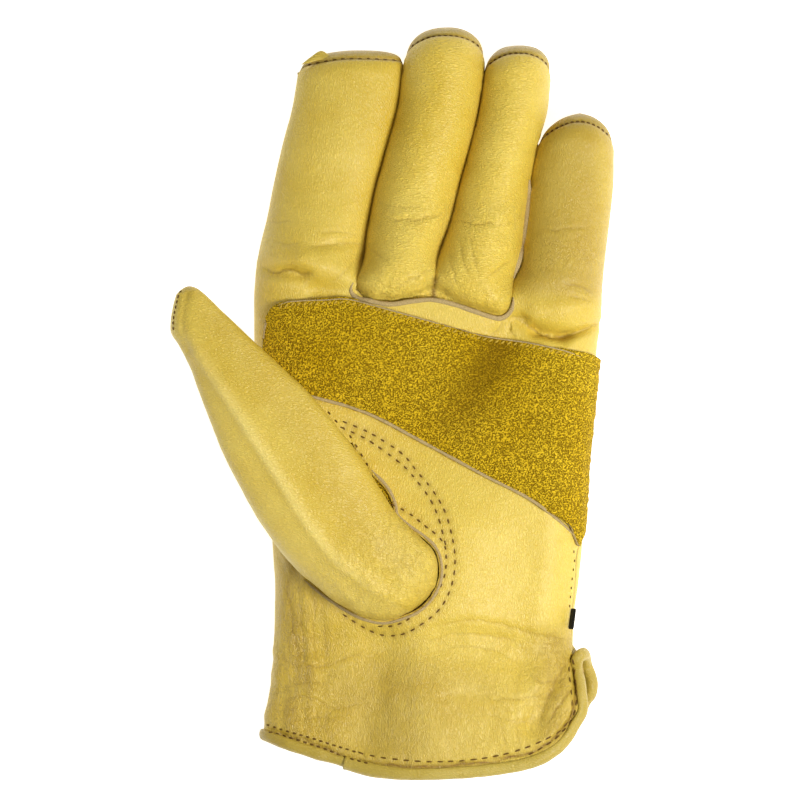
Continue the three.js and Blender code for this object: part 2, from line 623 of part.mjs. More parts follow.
// The back of the hand with the backs of all four fingers. It wraps over the fingertips to the tip seams.
function backGrids() {
  const COLUMNS = 7;
  const grids = [];
  FINGERS.forEach((finger) => {
    const first = finger.crotchLeft ?? finger.crotchRight;
    const last = finger.crotchRight ?? finger.crotchLeft;
    const start = (s) => mix(first, last, s);
    const outerLeft = finger.crotchLeft === null;
    const outerRight = finger.crotchRight === null;
    const lowInset = (y, crotch) =>
      BACK_RADIUS * (1 - Math.cos(LOW_SEAM)) * slotDepth(y, crotch, 0) * (1 - nearCorner(finger, y));
    // A row of the back from left to right: an outer edge turns up to the seam, a slot edge part of the way.
    // Columns for the rounding at the left edge, the flat middle and the rounding at the right edge.
    const [leftColumns, flatColumns] = outerLeft ? [4, 1] : outerRight ? [2, 1] : [3, 1];
    const leftShare = leftColumns / COLUMNS;
    const rightShare = (leftColumns + flatColumns) / COLUMNS;
    const place = (s, y) => {
      const { left, right } = span(finger, y);
      const rightEdge = outerRight ? backUlnar(y) : right;
      const reach = Math.min(BACK_RADIUS, (rightEdge - left) / 2);
      if (s < leftShare) {
        const t = 1 - s / leftShare;
        if (outerLeft) {
          const angle = mix(-Math.PI / 2, radialSeam(y) - seamStep, t);
          return sidePoint(left, 1, angle, y, radialRadius(y));
        }
        const d = mix(reach, lowInset(y, finger.crotchLeft), Math.sin((t * Math.PI) / 2));
        return [left + d, y, backHeight(d, y, slotDepth(y, finger.crotchLeft, 0))];
      }
      if (s > rightShare) {
        const t = (s - rightShare) / (1 - rightShare);
        if (outerRight) return ulnarBack(t, y);
        const d = mix(reach, lowInset(y, finger.crotchRight), Math.sin((t * Math.PI) / 2));
        return [right - d, y, backHeight(d, y, slotDepth(y, finger.crotchRight, 0))];
      }
      const flat = (s - leftShare) / (rightShare - leftShare);
      return [mix(left + reach, rightEdge - reach, flat), y, backHeight(BACK_RADIUS, y)];
    };
    const tipStart = fingertip(finger, 1);
    const across = (s) => {
      const { centre, half } = span(finger, tipStart);
      return Math.max(-1, Math.min(1, (place(s, tipStart)[0] - centre) / half));
    };
    const add = (rows, at) => grids.push(grid(COLUMNS, rows, at, true));
    add(ROWS, (s, v) => place(s, handRow(v, cuffBack(place(s, CUFF_LINE)[0]), start(s))));
    add(FINGER_ROWS, (s, v) => place(s, mix(start(s), fingertip(finger, across(s)) - finger.tipRadius, v)));
    add(TIP_ROWS + 1, (s, v) => {
      const top = fingertip(finger, across(s));
      const radius = finger.tipRadius;
      const seam = Math.acos(1 - tipSeam(across(s)) / radius);
      const turn = v < 1 ? (Math.PI / 2) * ((v * (TIP_ROWS + 1)) / TIP_ROWS - 1) : seam;
      const y = top - radius * (1 - Math.cos(turn));
      const [x, , z] = place(s, y);
      if (turn > 0) return frontPoint((px, py) => fingerFront(finger, px, py), x, y);
      return [x, y, mix(z, WIDEST, 1 - quarter((top - y) / radius))];
    });
  });
  return grids;
}

// The back's outer edge on the little-finger side: up to the seam, or out to its free edge beside the slit.
function ulnarBack(t, y) {
  const angle = mix(-Math.PI / 2, ulnarSeam(y) - seamStep, t);
  const closed = sidePoint(edge.ulnar(y), -1, angle, y, ulnarRadius(y), palmFront);
  if (y >= SLIT_TOP) return closed;
  const open = [backUlnar(y) - BACK_RADIUS * (1 - t), y, mix(cuffLift(y), 5.2, t ** 3)];
  const share = ease((SLIT_TOP - y) / 9);
  return [mix(closed[0], open[0], share), y, mix(closed[2], open[2], share)];
}

// Side wall between two fingers: down one finger, round the crotch and up the next.
// It lies just inside the edges of the front and the back.
function fourchetteGrids(slot, before, after) {
  const SIDE_STEPS = 10;
  const TURN_STEPS = 6;
  const SHORT_OF_TIP = 1.5;
  const crotch = before.crotchRight;
  const inset = GRAIN_LEATHER + 2 * SEAM_GAP;
  const reach = SLOT_HALF_GAP + inset;
  const stations = [];
  for (let i = 0; i < SIDE_STEPS; i += 1) {
    stations.push({ side: -1, y: mix(fingertip(before, 1) - SHORT_OF_TIP, crotch, i / SIDE_STEPS), turn: 0 });
  }
  for (let i = 0; i <= TURN_STEPS; i += 1) stations.push({ side: 0, y: crotch, turn: i / TURN_STEPS });
  for (let i = 1; i <= SIDE_STEPS; i += 1) {
    stations.push({ side: 1, y: mix(crotch, fingertip(after, 1) - SHORT_OF_TIP, i / SIDE_STEPS), turn: 1 });
  }
  const edgeHeight = (side, y) => {
    const finger = side < 0 ? before : after;
    const { left, right } = span(finger, y);
    return fingerFront(finger, side < 0 ? right : left, y);
  };
  const roof = palmFront(edge[slot](crotch), crotch - reach) - 2 * GRAIN_LEATHER - 3 * SEAM_GAP;
  const last = stations.length - 1;
  const place = (u, v) => {
    const { side, y, turn } = stations[Math.round(u * last)];
    const depth = slotDepth(y, crotch, 0);
    const low = mix(GRAIN_LEATHER + 2 * SEAM_GAP, 4.8, depth);
    const open = side === 0 ? roof : edgeHeight(side, y) + mix(-2.3, 1.0, depth);
    const z = mix(low, Math.min(open, mix(roof, 99, ease((y - crotch) / 3))), v);
    const radius = BACK_RADIUS - inset;
    const curl = depth * radius * (1 - Math.sqrt(1 - clamp((BACK_RADIUS - z) / radius) ** 2));
    if (side === 0) {
      return [edge[slot](y) - reach * Math.cos(turn * Math.PI), y - reach * Math.sin(turn * Math.PI), z];
    }
    return [edge[slot](y) + side * (reach + curl), y, z];
  };
  return [grid(last, 3, place, true)];
}

// Thumb: a closed loft through its sections, grown or shrunk by an offset.
function thumbBody(offset) {
  const AROUND = 16;
  const STEPS = 16;
  const at = Object.fromEntries(
    ["leftX", "leftY", "rightX", "rightY", "low", "high"].map((key) => [
      key,
      curve(THUMB.map((row, i) => ({ i, ...row })), "i", key),
    ]),
  );
  const points = [];
  const faces = [];
  for (let k = 0; k <= STEPS; k += 1) {
    const i = (k / STEPS) * (THUMB.length - 1);
    const left = new THREE.Vector3(at.leftX(i), at.leftY(i), 0);
    const right = new THREE.Vector3(at.rightX(i), at.rightY(i), 0);
    const centre = left.clone().add(right).multiplyScalar(0.5);
    const across = right.clone().sub(left).multiplyScalar(0.5);
    const half = across.length() + offset;
    across.normalize();
    const middle = (at.low(i) + at.high(i)) / 2;
    const rise = (at.high(i) - at.low(i)) / 2 + offset;
    for (let j = 0; j < AROUND; j += 1) {
      const angle = (2 * Math.PI * j) / AROUND;
      const p = centre.clone().addScaledVector(across, half * Math.cos(angle));
      p.z = middle + rise * Math.sign(Math.sin(angle)) * Math.abs(Math.sin(angle)) ** 0.9;
      points.push(p);
    }
  }
  for (let k = 0; k < STEPS; k += 1) {
    for (let j = 0; j < AROUND; j += 1) {
      const a = k * AROUND + j;
      const b = k * AROUND + ((j + 1) % AROUND);
      faces.push([a, a + AROUND, b]);
      faces.push([b, a + AROUND, b + AROUND]);
    }
  }
  const cap = (ring, outwards, reach) => {
    const first = ring * AROUND;
    const centre = points
      .slice(first, first + AROUND)
      .reduce((sum, p) => sum.add(p), new THREE.Vector3())
      .divideScalar(AROUND);
    centre.addScaledVector(outwards, reach);
    const hub = points.push(centre) - 1;
    for (let j = 0; j < AROUND; j += 1) {
      const a = first + j;
      const b = first + ((j + 1) % AROUND);
      faces.push(ring === 0 ? [hub, a, b] : [hub, b, a]);
    }
  };
  cap(0, new THREE.Vector3(0.5, -0.5, -0.3), 0.5);
  cap(STEPS, new THREE.Vector3(-0.5, 0.8, 0).normalize(), 1.2 + offset);
  return toManifold(solid(points, faces));
}

// Everything under the palm's front surface, raised by an offset. It trims the thumb where it meets the palm.
function underPalm(offset) {
  const FLOOR = -5;
  const rows = 26;
  const columns = 26;
  const top = [];
  for (let j = 0; j <= rows; j += 1) {
    for (let i = 0; i <= columns; i += 1) {
      const y = mix(-100, 35, j / rows);
      const x = mix(edge.radial(y) + 0.05, edge.ulnar(y) - 0.05, (1 - Math.cos((Math.PI * i) / columns)) / 2);
      top.push(new THREE.Vector3(x, y, palmFront(x, y) + offset));
    }
  }
  const base = top.map((p) => new THREE.Vector3(p.x, p.y, FLOOR));
  const n = top.length;
  const at = (i, j) => j * (columns + 1) + i;
  const faces = [];
  for (let j = 0; j < rows; j += 1) {
    for (let i = 0; i < columns; i += 1) {
      const [a, b, c, d] = [at(i, j), at(i + 1, j), at(i + 1, j + 1), at(i, j + 1)];
      faces.push([a, b, c], [a, c, d]);
      faces.push([c + n, b + n, a + n], [d + n, c + n, a + n]);
    }
  }
  const side = (a, b) => faces.push([b, a, a + n], [b, a + n, b + n]);
  for (let i = 0; i < columns; i += 1) {
    side(at(i, 0), at(i + 1, 0));
    side(at(i + 1, rows), at(i, rows));
  }
  for (let j = 0; j < rows; j += 1) {
    side(at(columns, j), at(columns, j + 1));
    side(at(0, j + 1), at(0, j));
  }
  return toManifold(solid([...top, ...base], faces));
}

// The thumb's sleeve: hollow, closed at the tip, and open at its base, which passes through the palm.
function thumbSleeve() {
  const BELOW_PALM = 3;
  return trimmed(thumbBody(0), thumbBody(-GRAIN_LEATHER), underPalm(-BELOW_PALM));
}

// The suede patch lies on the palm and runs round its ulnar edge to the side seam.
function patchGrids() {
  const lift = SUEDE + 1.8 * SEAM_GAP;
  const start = PATCH_EDGES[0].x;
  const at = (u, v) => {
    const nominal = mix(start, 66.5, u);
    const y = mix(patchBottom(nominal), patchTop(nominal), v);
    const reach = mix(start, edge.ulnar(y) - PALM_RADIUS, Math.min(1, u / 0.72));
    const lifted = (p) => {
      const step = 0.05;
      const dx = (palmFront(p[0] + step, y) - palmFront(p[0] - step, y)) / (2 * step);
      return [p[0] - (dx / Math.hypot(dx, 1)) * lift, y, p[2] + lift / Math.hypot(dx, 1)];
    };
    if (u <= 0.72) return lifted([reach, y, palmFront(reach, y)]);
    const angle = mix(Math.PI / 2, Math.max(ulnarSeam(y) + degrees(4), degrees(4)), (u - 0.72) / 0.28);
    return lifted(sidePoint(edge.ulnar(y), -1, angle, y, ulnarRadius(y), palmFront));
  };
  return [grid(18, 6, at)];
}

// The cuff's binding: a rolled strip on the free edge, round the cuff, up one side of the slit and down again.
function cuffBinding() {
  const half = GRAIN_LEATHER / 2 + 1.8 * SEAM_GAP;
  const outside = half + BINDING_LEATHER;
  const COVER = 2.1; // how far the outer leg covers the leather
  const TURNED_IN = 5.4;
  const CLEAR = 0.6;
  // Profile in (into the panel, outwards) coordinates, round the U.
  const profile = [
    [COVER, half],
    [-CLEAR, half],
    [-CLEAR, -half],
    [TURNED_IN, -half - 0.3],
    [TURNED_IN, -outside],
    [-0.4, -outside],
    [-CLEAR - 1.0, -half - 0.3],
    [-CLEAR - BINDING_LEATHER - 0.15, 0],
    [-CLEAR - 1.0, half + 0.3],
    [-0.4, outside],
    [COVER - 0.5, outside],
    [COVER, outside - 0.5],
  ];
  const under = GRAIN_LEATHER / 2;
  const stations = [];
  // A station on the free edge of a surface. The angle turns from straight up the hand towards the thumb side.
  const station = (surface, side, x, y, angle) => {
    const step = [-Math.sin(degrees(angle)), Math.cos(degrees(angle))];
    const at = new THREE.Vector3(x, y, surface(x, y));
    const inner = [x + 3 * step[0], y + 3 * step[1]];
    const into = new THREE.Vector3(...inner, surface(...inner)).sub(at).normalize();
    const along = new THREE.Vector3(step[1], -step[0], 0);
    at.addScaledVector(along.cross(into).normalize(), -side * under);
    stations.push({ at, into });
  };
  const place = (at, into) =>
    stations.push({ at: new THREE.Vector3(...at), into: new THREE.Vector3(...into) });
  for (const { x, angle } of BINDING_FRONT) station(palmFront, 1, x, cuffFront(x), angle);
  for (const { y } of BINDING_FRONT_SLIT) station(palmFront, 1, edge.ulnar(y), y, 90);
  for (const { x, y, z, inX, inY } of BINDING_APEX) place([x, y, z], [inX, inY, 0]);
  for (const { y } of BINDING_BACK_SLIT) station(backSurface, -1, backUlnar(y), y, 90);
  for (const { x, angle } of BINDING_BACK) station(backSurface, -1, x, cuffBack(x), angle);
  for (const { angle } of BINDING_THUMB_SIDE) {
    const [x, , z] = sidePoint(edge.radial(CUFF_LINE), 1, degrees(angle), CUFF_LINE, PALM_RADIUS, palmFront);
    const y = mix(cuffBack(x), cuffFront(x), clamp((angle + 50) / 60));
    place([x + under * Math.cos(degrees(angle)), y, z - under * Math.sin(degrees(angle))], [0, 1, 0]);
  }
  for (const { x } of BINDING_END) station(palmFront, 1, x, cuffFront(x), 0);
  return sweep(profile, stations);
}

// Height of the back near the cuff, out to its curled edge beside the slit.
const backSurface = (x, y) =>
  x < 0
    ? backHeight(x - edge.radial(y), y)
    : mix(cuffLift(y), 5.2, clamp(1 - (backUlnar(y) - x) / BACK_RADIUS) ** 3);

// Carries a closed profile along stations that each say which way lies into the panel.
function sweep(profile, stations) {
  const points = [];
  const faces = [];
  const count = profile.length;
  stations.forEach(({ at, into }, i) => {
    const before = stations[Math.max(0, i - 1)].at;
    const after = stations[Math.min(stations.length - 1, i + 1)].at;
    const along = after.clone().sub(before).normalize();
    const out = along.clone().cross(into).normalize();
    const inwards = out.clone().cross(along);
    for (const [a, b] of profile) points.push(at.clone().addScaledVector(inwards, a).addScaledVector(out, b));
  });
  for (let i = 0; i < stations.length - 1; i += 1) {
    for (let j = 0; j < count; j += 1) {
      const a = i * count + j;
      const b = i * count + ((j + 1) % count);
      faces.push([a, b, a + count], [b, b + count, a + count]);
    }
  }
  const outline = profile.map(([a, b]) => new THREE.Vector2(a, b));
  const clockwise = THREE.ShapeUtils.isClockWise(outline);
  const end = (stations.length - 1) * count;
  for (const [a, b, c] of THREE.ShapeUtils.triangulateShape(outline, [])) {
    const turned = (b - a) * (c - b) * (a - c) > 0;
    const [first, second] = turned ? [c, b] : [b, c];
    faces.push([a, second, first], [a + end, first + end, second + end]);
  }
  if (clockwise) faces.forEach((face) => face.reverse());
  return toManifold(solid(points, faces));
}

// A plain folded tab of black tape, caught in the side seam.
function sideTab() {
  const LENGTH = 6.4;
  const TAPE = 0.8;
  const REACH = 2.6;
  const fold = new THREE.Shape();
  fold.moveTo(0, 0);
  fold.lineTo(REACH - TAPE, 0);
  fold.quadraticCurveTo(REACH, 0, REACH, TAPE);
  fold.quadraticCurveTo(REACH, 2 * TAPE, REACH - TAPE, 2 * TAPE);
  fold.lineTo(0, 2 * TAPE);
  fold.closePath();
  const tab = new THREE.ExtrudeGeometry(fold, { depth: LENGTH, bevelEnabled: false, curveSegments: 4 });
  tab.rotateX(Math.PI / 2);
  return tab;
}

const palm = palmGrids();
const back = backGrids();
const middle = fingerGrids(MIDDLE);
const ring = fingerGrids(RING);
const roomForPalm = sheet(palm, GRAIN_LEATHER, SEAM_GAP);
const roomForThumb = thumbBody(SEAM_GAP);
const backBody = trimmed(sheet(back, GRAIN_LEATHER), roomForPalm);
const roomForBack = sheet(back, GRAIN_LEATHER, SEAM_GAP);
const roomInBinding = sheet(back, GRAIN_LEATHER, 1.6 * SEAM_GAP);
const frontBody = (grids) => trimmed(sheet(grids, GRAIN_LEATHER), roomForPalm, roomForBack);
const roomForFronts = sheet(middle, GRAIN_LEATHER, SEAM_GAP).add(sheet(ring, GRAIN_LEATHER, SEAM_GAP));
const walls = (slot, before, after) => sheet(fourchetteGrids(slot, before, after), SIDEWALL_LEATHER);
const wallBody = (slot, before, after) =>
  trimmed(walls(slot, before, after), roomForPalm, roomForBack, roomForFronts);
const patchBody = trimmed(sheet(patchGrids(), SUEDE), roomForPalm, roomForThumb);

const glove = new THREE.Group();
const grainMaterial = () => new THREE.MeshStandardMaterial({ color: 0xd8b957, roughness: 0.55, metalness: 0 });
const suedeMaterial = () => new THREE.MeshStandardMaterial({ color: 0xb8922a, roughness: 0.95, metalness: 0 });
const tapeMaterial = () => new THREE.MeshStandardMaterial({ color: 0x1c1c22, roughness: 0.8, metalness: 0 });

function add(name, geometry, material) {
  const mesh = new THREE.Mesh(geometry, material);
  mesh.name = name;
  glove.add(mesh);
  return mesh;
}

add("palm_panel", fromManifold(trimmed(sheet(palm, GRAIN_LEATHER), roomForThumb)), grainMaterial());
add("back_panel", fromManifold(backBody), grainMaterial());
add("middle_finger_front", fromManifold(frontBody(middle)), grainMaterial());
add("ring_finger_front", fromManifold(frontBody(ring)), grainMaterial());
add("fourchette_index_middle", fromManifold(wallBody("slot1", INDEX, MIDDLE)), grainMaterial());
add("fourchette_middle_ring", fromManifold(wallBody("slot2", MIDDLE, RING)), grainMaterial());
add("fourchette_ring_little", fromManifold(wallBody("slot3", RING, LITTLE)), grainMaterial());
add("thumb", fromManifold(thumbSleeve()), grainMaterial());
add("palm_patch", fromManifold(patchBody), suedeMaterial());
add("cuff_binding", fromManifold(trimmed(cuffBinding(), roomForPalm, roomInBinding)), grainMaterial());
const tab = add("side_tab", sideTab(), tapeMaterial());
tab.rotation.y = -degrees(64);
tab.position.set(62.3, -70.2, 16.4);
glove.position.set(SHIFT.x, SHIFT.y, SHIFT.z);

export default glove;
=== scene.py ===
import math
from typing import NamedTuple

import bmesh
import bpy
import numpy as np
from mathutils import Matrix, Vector
from mathutils.bvhtree import BVHTree


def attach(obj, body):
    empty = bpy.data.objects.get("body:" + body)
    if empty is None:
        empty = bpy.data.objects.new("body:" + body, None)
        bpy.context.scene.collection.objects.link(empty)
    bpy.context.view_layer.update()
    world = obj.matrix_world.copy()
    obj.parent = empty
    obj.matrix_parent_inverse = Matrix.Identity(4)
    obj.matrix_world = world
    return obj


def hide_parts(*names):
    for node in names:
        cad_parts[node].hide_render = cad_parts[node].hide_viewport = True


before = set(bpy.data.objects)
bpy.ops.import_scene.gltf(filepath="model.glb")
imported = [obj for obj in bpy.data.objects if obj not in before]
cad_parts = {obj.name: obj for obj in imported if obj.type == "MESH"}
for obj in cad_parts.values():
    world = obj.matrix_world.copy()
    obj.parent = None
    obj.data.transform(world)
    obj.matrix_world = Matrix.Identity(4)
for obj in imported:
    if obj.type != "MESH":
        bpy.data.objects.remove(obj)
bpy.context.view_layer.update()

bl_info = {
    "name": "Leather driver glove",
    "version": (1, 0, 0),
    "blender": (4, 5, 0),
    "location": "3D View > Sidebar > Glove",
    "description": "Builds a leather driver glove, its stitches and its studio stage",
    "category": "Add Mesh",
}

# All shapes are worked out in millimetres and go into the meshes in metres.
MM = 0.001
# How far the tables' coordinates are moved along y to reach the frame.
SHIFT_Y = 0.1
# Height at which the sections are widest, and the radii of their edges on the back and on the palm.
WIDEST = 11.0
BACK_RADIUS = 11.0
PALM_RADIUS = 15.0
# Angle round an edge of the seam between palm and back, and the gap of each sheet to it.
LOW_SEAM = math.radians(-38)
SEAM_STEP = 0.012
# Where the slit starts, where its front side turns into the cuff, and the y at which the cuff's x is read.
SLIT_TOP = -84.0
FRONT_SLIT_BOTTOM = -104.6
CUFF_LINE = -116.0
# Height of the back's curled edge beside the slit.
CURLED_EDGE = 5.2
HALF_LEATHER = 0.75
# The finger fronts overlap a little in the slots, and the side walls keep a small gap to them.
SLOT_HALF_GAP = -0.2
WALL_GAP = 0.4
# Reach of the fingertips' sharp corners, where the sheets keep clear of relief and thickness.
CORNER_REACH = 3.2
# Along x, where the patch's table ends, and the share of its columns that lie on the open palm.
PATCH_END = 66.5
PATCH_FLAT = 0.8

# A table is a tuple of column names and a tuple of rows, one row for each station.
EDGES = (
    ("y", "radial", "slot1", "slot2", "slot3", "ulnar"),
    (
        (130, -29.5, 5.2, 31.6, 56.2, 77),
        (112, -32.2, 3.3, 31.1, 53.9, 76),
        (100, -34.2, 1.6, 29.4, 52.6, 75.6),
        (88, -37.5, -1.5, 26.6, 49.4, 75.4),
        (75, -40.3, -5.3, 23, 46.8, 75.3),
        (62, -43, -8.1, 19.7, 45.3, 73.9),
        (50, -45.8, -9.8, 15.6, 43.6, 72.5),
        (40, -46.9, -12.4, 14.1, 41, 71.5),
        (30, -47.1, -12.9, 14, 40.6, 71),
        (18, -46.8, -12.8, 13.9, 40.4, 69.5),
        (0, -45.2, -12.4, 13.7, 39.8, 68.2),
        (-20, -43.6, -11.6, 13.4, 39, 66),
        (-45, -41.1, -10.6, 13, 38, 64.8),
        (-60, -40.2, -10.2, 12.8, 37.4, 63.4),
        (-72, -40.2, -10, 12.6, 37, 61.7),
        (-84, -40.7, -9.8, 12.4, 36.6, 61.5),
        (-92, -41.4, -9.6, 12.2, 36.4, 62.8),
        (-100, -42.6, -9.4, 12.1, 36.3, 63.8),
        (-108, -43.6, -9.2, 12, 36.2, 64),
        (-114, -43.9, -9, 12, 36.2, 64),
        (-130, -43.9, -8.8, 12, 36.2, 64),
    ),
)
BACK_FLARE = (
    ("y", "x"),
    (
        (SLIT_TOP, 61.5),
        (-87, 65.2),
        (-91, 67.3),
        (-95, 68.5),
        (-100, 68),
        (-106, 66.2),
        (-130, 65),
    ),
)
SIDE_SEAM = (
    ("y", "angle"),
    (
        (-15, -38),
        (-40, 0),
        (-50, 26),
        (-60, 24),
        (-70, 18),
        (-77, 14),
        (-86, 0),
        (-92, 0),
    ),
)
CUFF = (
    ("x", "front", "back"),
    (
        (-46, -112.4, -112.4),
        (-35, -116.3, -115.4),
        (-27, -118.8, -117.6),
        (-16, -122.1, -120.2),
        (-2, -125.4, -122.6),
        (10, -126, -123.4),
        (22, -125.6, -123.2),
        (34, -124.5, -122),
        (45, -122.6, -119.8),
        (53, -119.4, -116.6),
        (58.5, -115.1, -113),
        (62, -109.8, -109.4),
        (64, FRONT_SLIT_BOTTOM, -106),
        (68, -98, -98.5),
    ),
)
PALM_CREST = (
    ("y", "radial", "middle", "ulnar"),
    (
        (45, 24.5, 24.5, 24),
        (30, 24, 24, 24),
        (10, 24, 22.6, 24.2),
        (-15, 25, 22.8, 25.6),
        (-45, 25, 26.6, 23.8),
        (-70, 23, 27.6, 23),
        (-90, 20.6, 26, 24.2),
        (-110, 20, 27, 26.2),
        (-128, 20.2, 27.8, 26.4),
    ),
)
FINGER_CREST = (
    ("y", "index", "middle", "ring", "little"),
    (
        (128, 20.6, 23.4, 23, 22),
        (110, 21, 24.4, 23.8, 22.2),
        (90, 21.8, 25.2, 24.6, 22.6),
        (70, 23.2, 26, 25.6, 23.6),
        (52, 25.6, 28, 27.6, 25.2),
        (44, 26.4, 28.4, 28, 26),
        (34, 25.6, 27.6, 27.4, 26.6),
    ),
)
BASE_SEAM = (
    ("x", "y"),
    (
        (-12.3, 38.3),
        (-9.2, 35.5),
        (-1.3, 34),
        (6.6, 35),
        (13.7, 35.5),
        (20.7, 34),
        (26.7, 32),
        (32.6, 30),
        (36.7, 29.2),
        (39.4, 31),
        (40.5, 34.3),
    ),
)
PATCH_EDGES = (
    ("x", "top", "bottom"),
    (
        (-43.2, 22, 18),
        (-42, 29.6, 10.4),
        (-38, 33.6, 6.6),
        (-32, 34.7, 3.4),
        (-23.2, 35, 0.7),
        (-15.2, 35.3, -1.5),
        (-6, 33, -5),
        (6.7, 29.5, -11.7),
        (20, 25.8, -18.9),
        (32, 22.6, -25.4),
        (46.6, 20.4, -33),
        (57.6, 18, -41.3),
        (62.5, 16.4, -46.4),
        (66.5, 14.6, -48.6),
        (74, 13, -49.4),
    ),
)
# Main folds: a dent, or a swell where the depth is negative, along a straight run.
FOLDS = (
    ("x0", "y0", "x1", "y1", "width", "depth"),
    (
        (-48, 46.8, -31, 43.6, 3, 3.4),
        (-46, 52, -32, 50, 4, -1.5),
        (-46, 34, -30, 36, 5, 1.2),
        (-25, 38.4, -13, 37, 3.4, 2.2),
        (-27, 48, -16, 47, 6, -1.4),
        (-29, 53.4, -12, 53.8, 2.2, 0.7),
        (-40, 78, -22, 74, 9, 0.9),
        (43, 28, 49, 24.4, 2.6, 1.2),
        (49, 24.4, 58, 22.8, 2.4, 3.2),
        (58, 22.8, 71, 27, 2.4, 2.8),
        (50, 32, 68, 33, 6, -2.4),
        (14, 8, 40, 21, 9, 1.6),
        (-10, 6, 30, -22, 12, 1.2),
        (-40, -80, 60, -84, 7, 1.4),
        (24, -44, 27, -68, 12, -1.2),
        (58, -90, 48, -109, 4.2, 2.6),
        (-4, -82, -8, -112, 8, 2.2),
        (-26, -100, -22, -112, 7, -0.9),
        (16, -92, 14, -114, 9, -1.4),
        (44, -88, 60, -86, 7, 1.4),
        (-36, -62, -31, -94, 3.2, 0.6),
        (-27, -64, -23, -92, 3, 0.45),
        (-39, -98, -20, -103, 4, 1),
        (16, -77, 54, -81, 3.4, 0.6),
    ),
)
THUMB = (
    ("left_x", "left_y", "right_x", "right_y", "low", "high", "ridge"),
    (
        (8.4, -69.6, 13, -65.2, 16, 27.5, 0.30),
        (3.2, -72.2, 15.3, -60.2, 12, 33.4, 0.30),
        (-3.4, -73.6, 15.4, -54.6, 12, 37.6, 0.30),
        (-9.8, -72.2, 13.6, -49.8, 12, 39.8, 0.30),
        (-16.4, -69, 9.6, -45.6, 12, 41.2, 0.30),
        (-29.6, -59.2, 1.2, -37, 15, 43.4, 0.30),
        (-41, -45.9, -4.6, -28.2, 19, 44.6, 0.31),
        (-50.5, -30.3, -10.6, -18.6, 24, 45.4, 0.31),
        (-58.7, -13.9, -20.4, -5.6, 27.4, 45.8, 0.28),
        (-65.1, 2.6, -32.4, 7.6, 28, 45.6, 0.22),
        (-69.2, 13.6, -43.6, 17.9, 28.6, 44.8, 0.16),
        (-71.9, 19.2, -49.8, 23.6, 29, 44.3, 0.14),
        (-74.8, 23.6, -54.4, 28, 29.4, 43.8, 0.14),
        (-75, 28, -59, 32.4, 30.4, 43.2, 0.16),
        (-74.2, 32.4, -62.6, 35.8, 31.8, 42.4, 0.20),
        (-73, 36.6, -65.6, 38.4, 33.6, 41.4, 0.30),
    ),
)


class Finger(NamedTuple):
    """One finger between two edge lines, with its tip, its crotches and the rounding of its tip."""

    name: str
    left: str
    right: str
    tip: float
    corner: float
    square: float
    crotch_left: float
    crotch_right: float
    radius: float
    dip: float
    lean: float = 0.0


INDEX = Finger("index", "radial", "slot1", 120.0, 6.8, 3.3, None, 38.3, 8, 0, 2.2)
MIDDLE = Finger("middle", "slot1", "slot2", 127.8, 14, 2.5, 38.3, 41.5, 10, 0.3)
RING = Finger("ring", "slot2", "slot3", 121.8, 12.5, 2.3, 41.5, 34.3, 9, 0.3)
LITTLE = Finger("little", "slot3", "ulnar", 98.6, 13, 2.1, 34.3, None, 10, 0)
FINGERS = (INDEX, MIDDLE, RING, LITTLE)


def mix(a, b, t):
    """The value a share t of the way from a to b."""
    return a + (b - a) * t


def ease(t):
    """0 up to t = 0, 1 from t = 1, and a smooth step between."""
    s = np.clip(t, 0, 1)
    return s * s * (3 - 2 * s)


def quarter(t):
    """A quarter circle: it rises steeply from 0 and is level at 1."""
    return np.sqrt(np.clip(1 - (1 - np.clip(t, 0, 1)) ** 2, 0, 1))


def curve(table, along, key):
    """A smooth function through one column of a table against another: cubic pieces with shared slopes."""
    names, rows = table
    data = np.array(sorted(rows, key=lambda row: row[names.index(along)]), dtype=float)
    at = data[:, names.index(along)]
    value = data[:, names.index(key)]
    slope = np.gradient(value, at)
    slope[1:-1] = (value[2:] - value[:-2]) / (at[2:] - at[:-2])
    slope[0] = (value[1] - value[0]) / (at[1] - at[0])
    slope[-1] = (value[-1] - value[-2]) / (at[-1] - at[-2])

    def value_at(t):
        s = np.clip(t, at[0], at[-1])
        i = np.clip(np.searchsorted(at, s, side="right") - 1, 0, len(at) - 2)
        h = at[i + 1] - at[i]
        k = (s - at[i]) / h
        start = (1 + 2 * k) * (1 - k) ** 2 * value[i] + k * (1 - k) ** 2 * h * slope[i]
        return start + k * k * (3 - 2 * k) * value[i + 1] + k * k * (k - 1) * h * slope[i + 1]

    return value_at


EDGE = {key: curve(EDGES, "y", key) for key in ("radial", "slot1", "slot2", "slot3", "ulnar")}
CREST = {key: curve(PALM_CREST, "y", key) for key in ("radial", "middle", "ulnar")}
FINGER_TOP = {finger.name: curve(FINGER_CREST, "y", finger.name) for finger in FINGERS}
FLARE = curve(BACK_FLARE, "y", "x")
SEAM_ANGLE = curve(SIDE_SEAM, "y", "angle")
CUFF_FRONT = curve(CUFF, "x", "front")
CUFF_BACK = curve(CUFF, "x", "back")
FINGER_BASE = curve(BASE_SEAM, "x", "y")
PATCH_TOP = curve(PATCH_EDGES, "x", "top")
PATCH_BOTTOM = curve(PATCH_EDGES, "x", "bottom")


def back_ulnar(y):
    """The back's edge on the little-finger side: it flares out beside the slit."""
    return np.where(y < SLIT_TOP, FLARE(y), EDGE["ulnar"](y))


def palm_height(x, y):
    """Height of the palm's front at its crest: the middle column, blended into the column of either side."""
    u = np.clip((x - EDGE["radial"](y)) / (EDGE["ulnar"](y) - EDGE["radial"](y)), 0, 1)
    side = np.where(u < 0.5, CREST["radial"](y), CREST["ulnar"](y))
    return mix(CREST["middle"](y), side, ease(np.abs(u - 0.5) / 0.36))


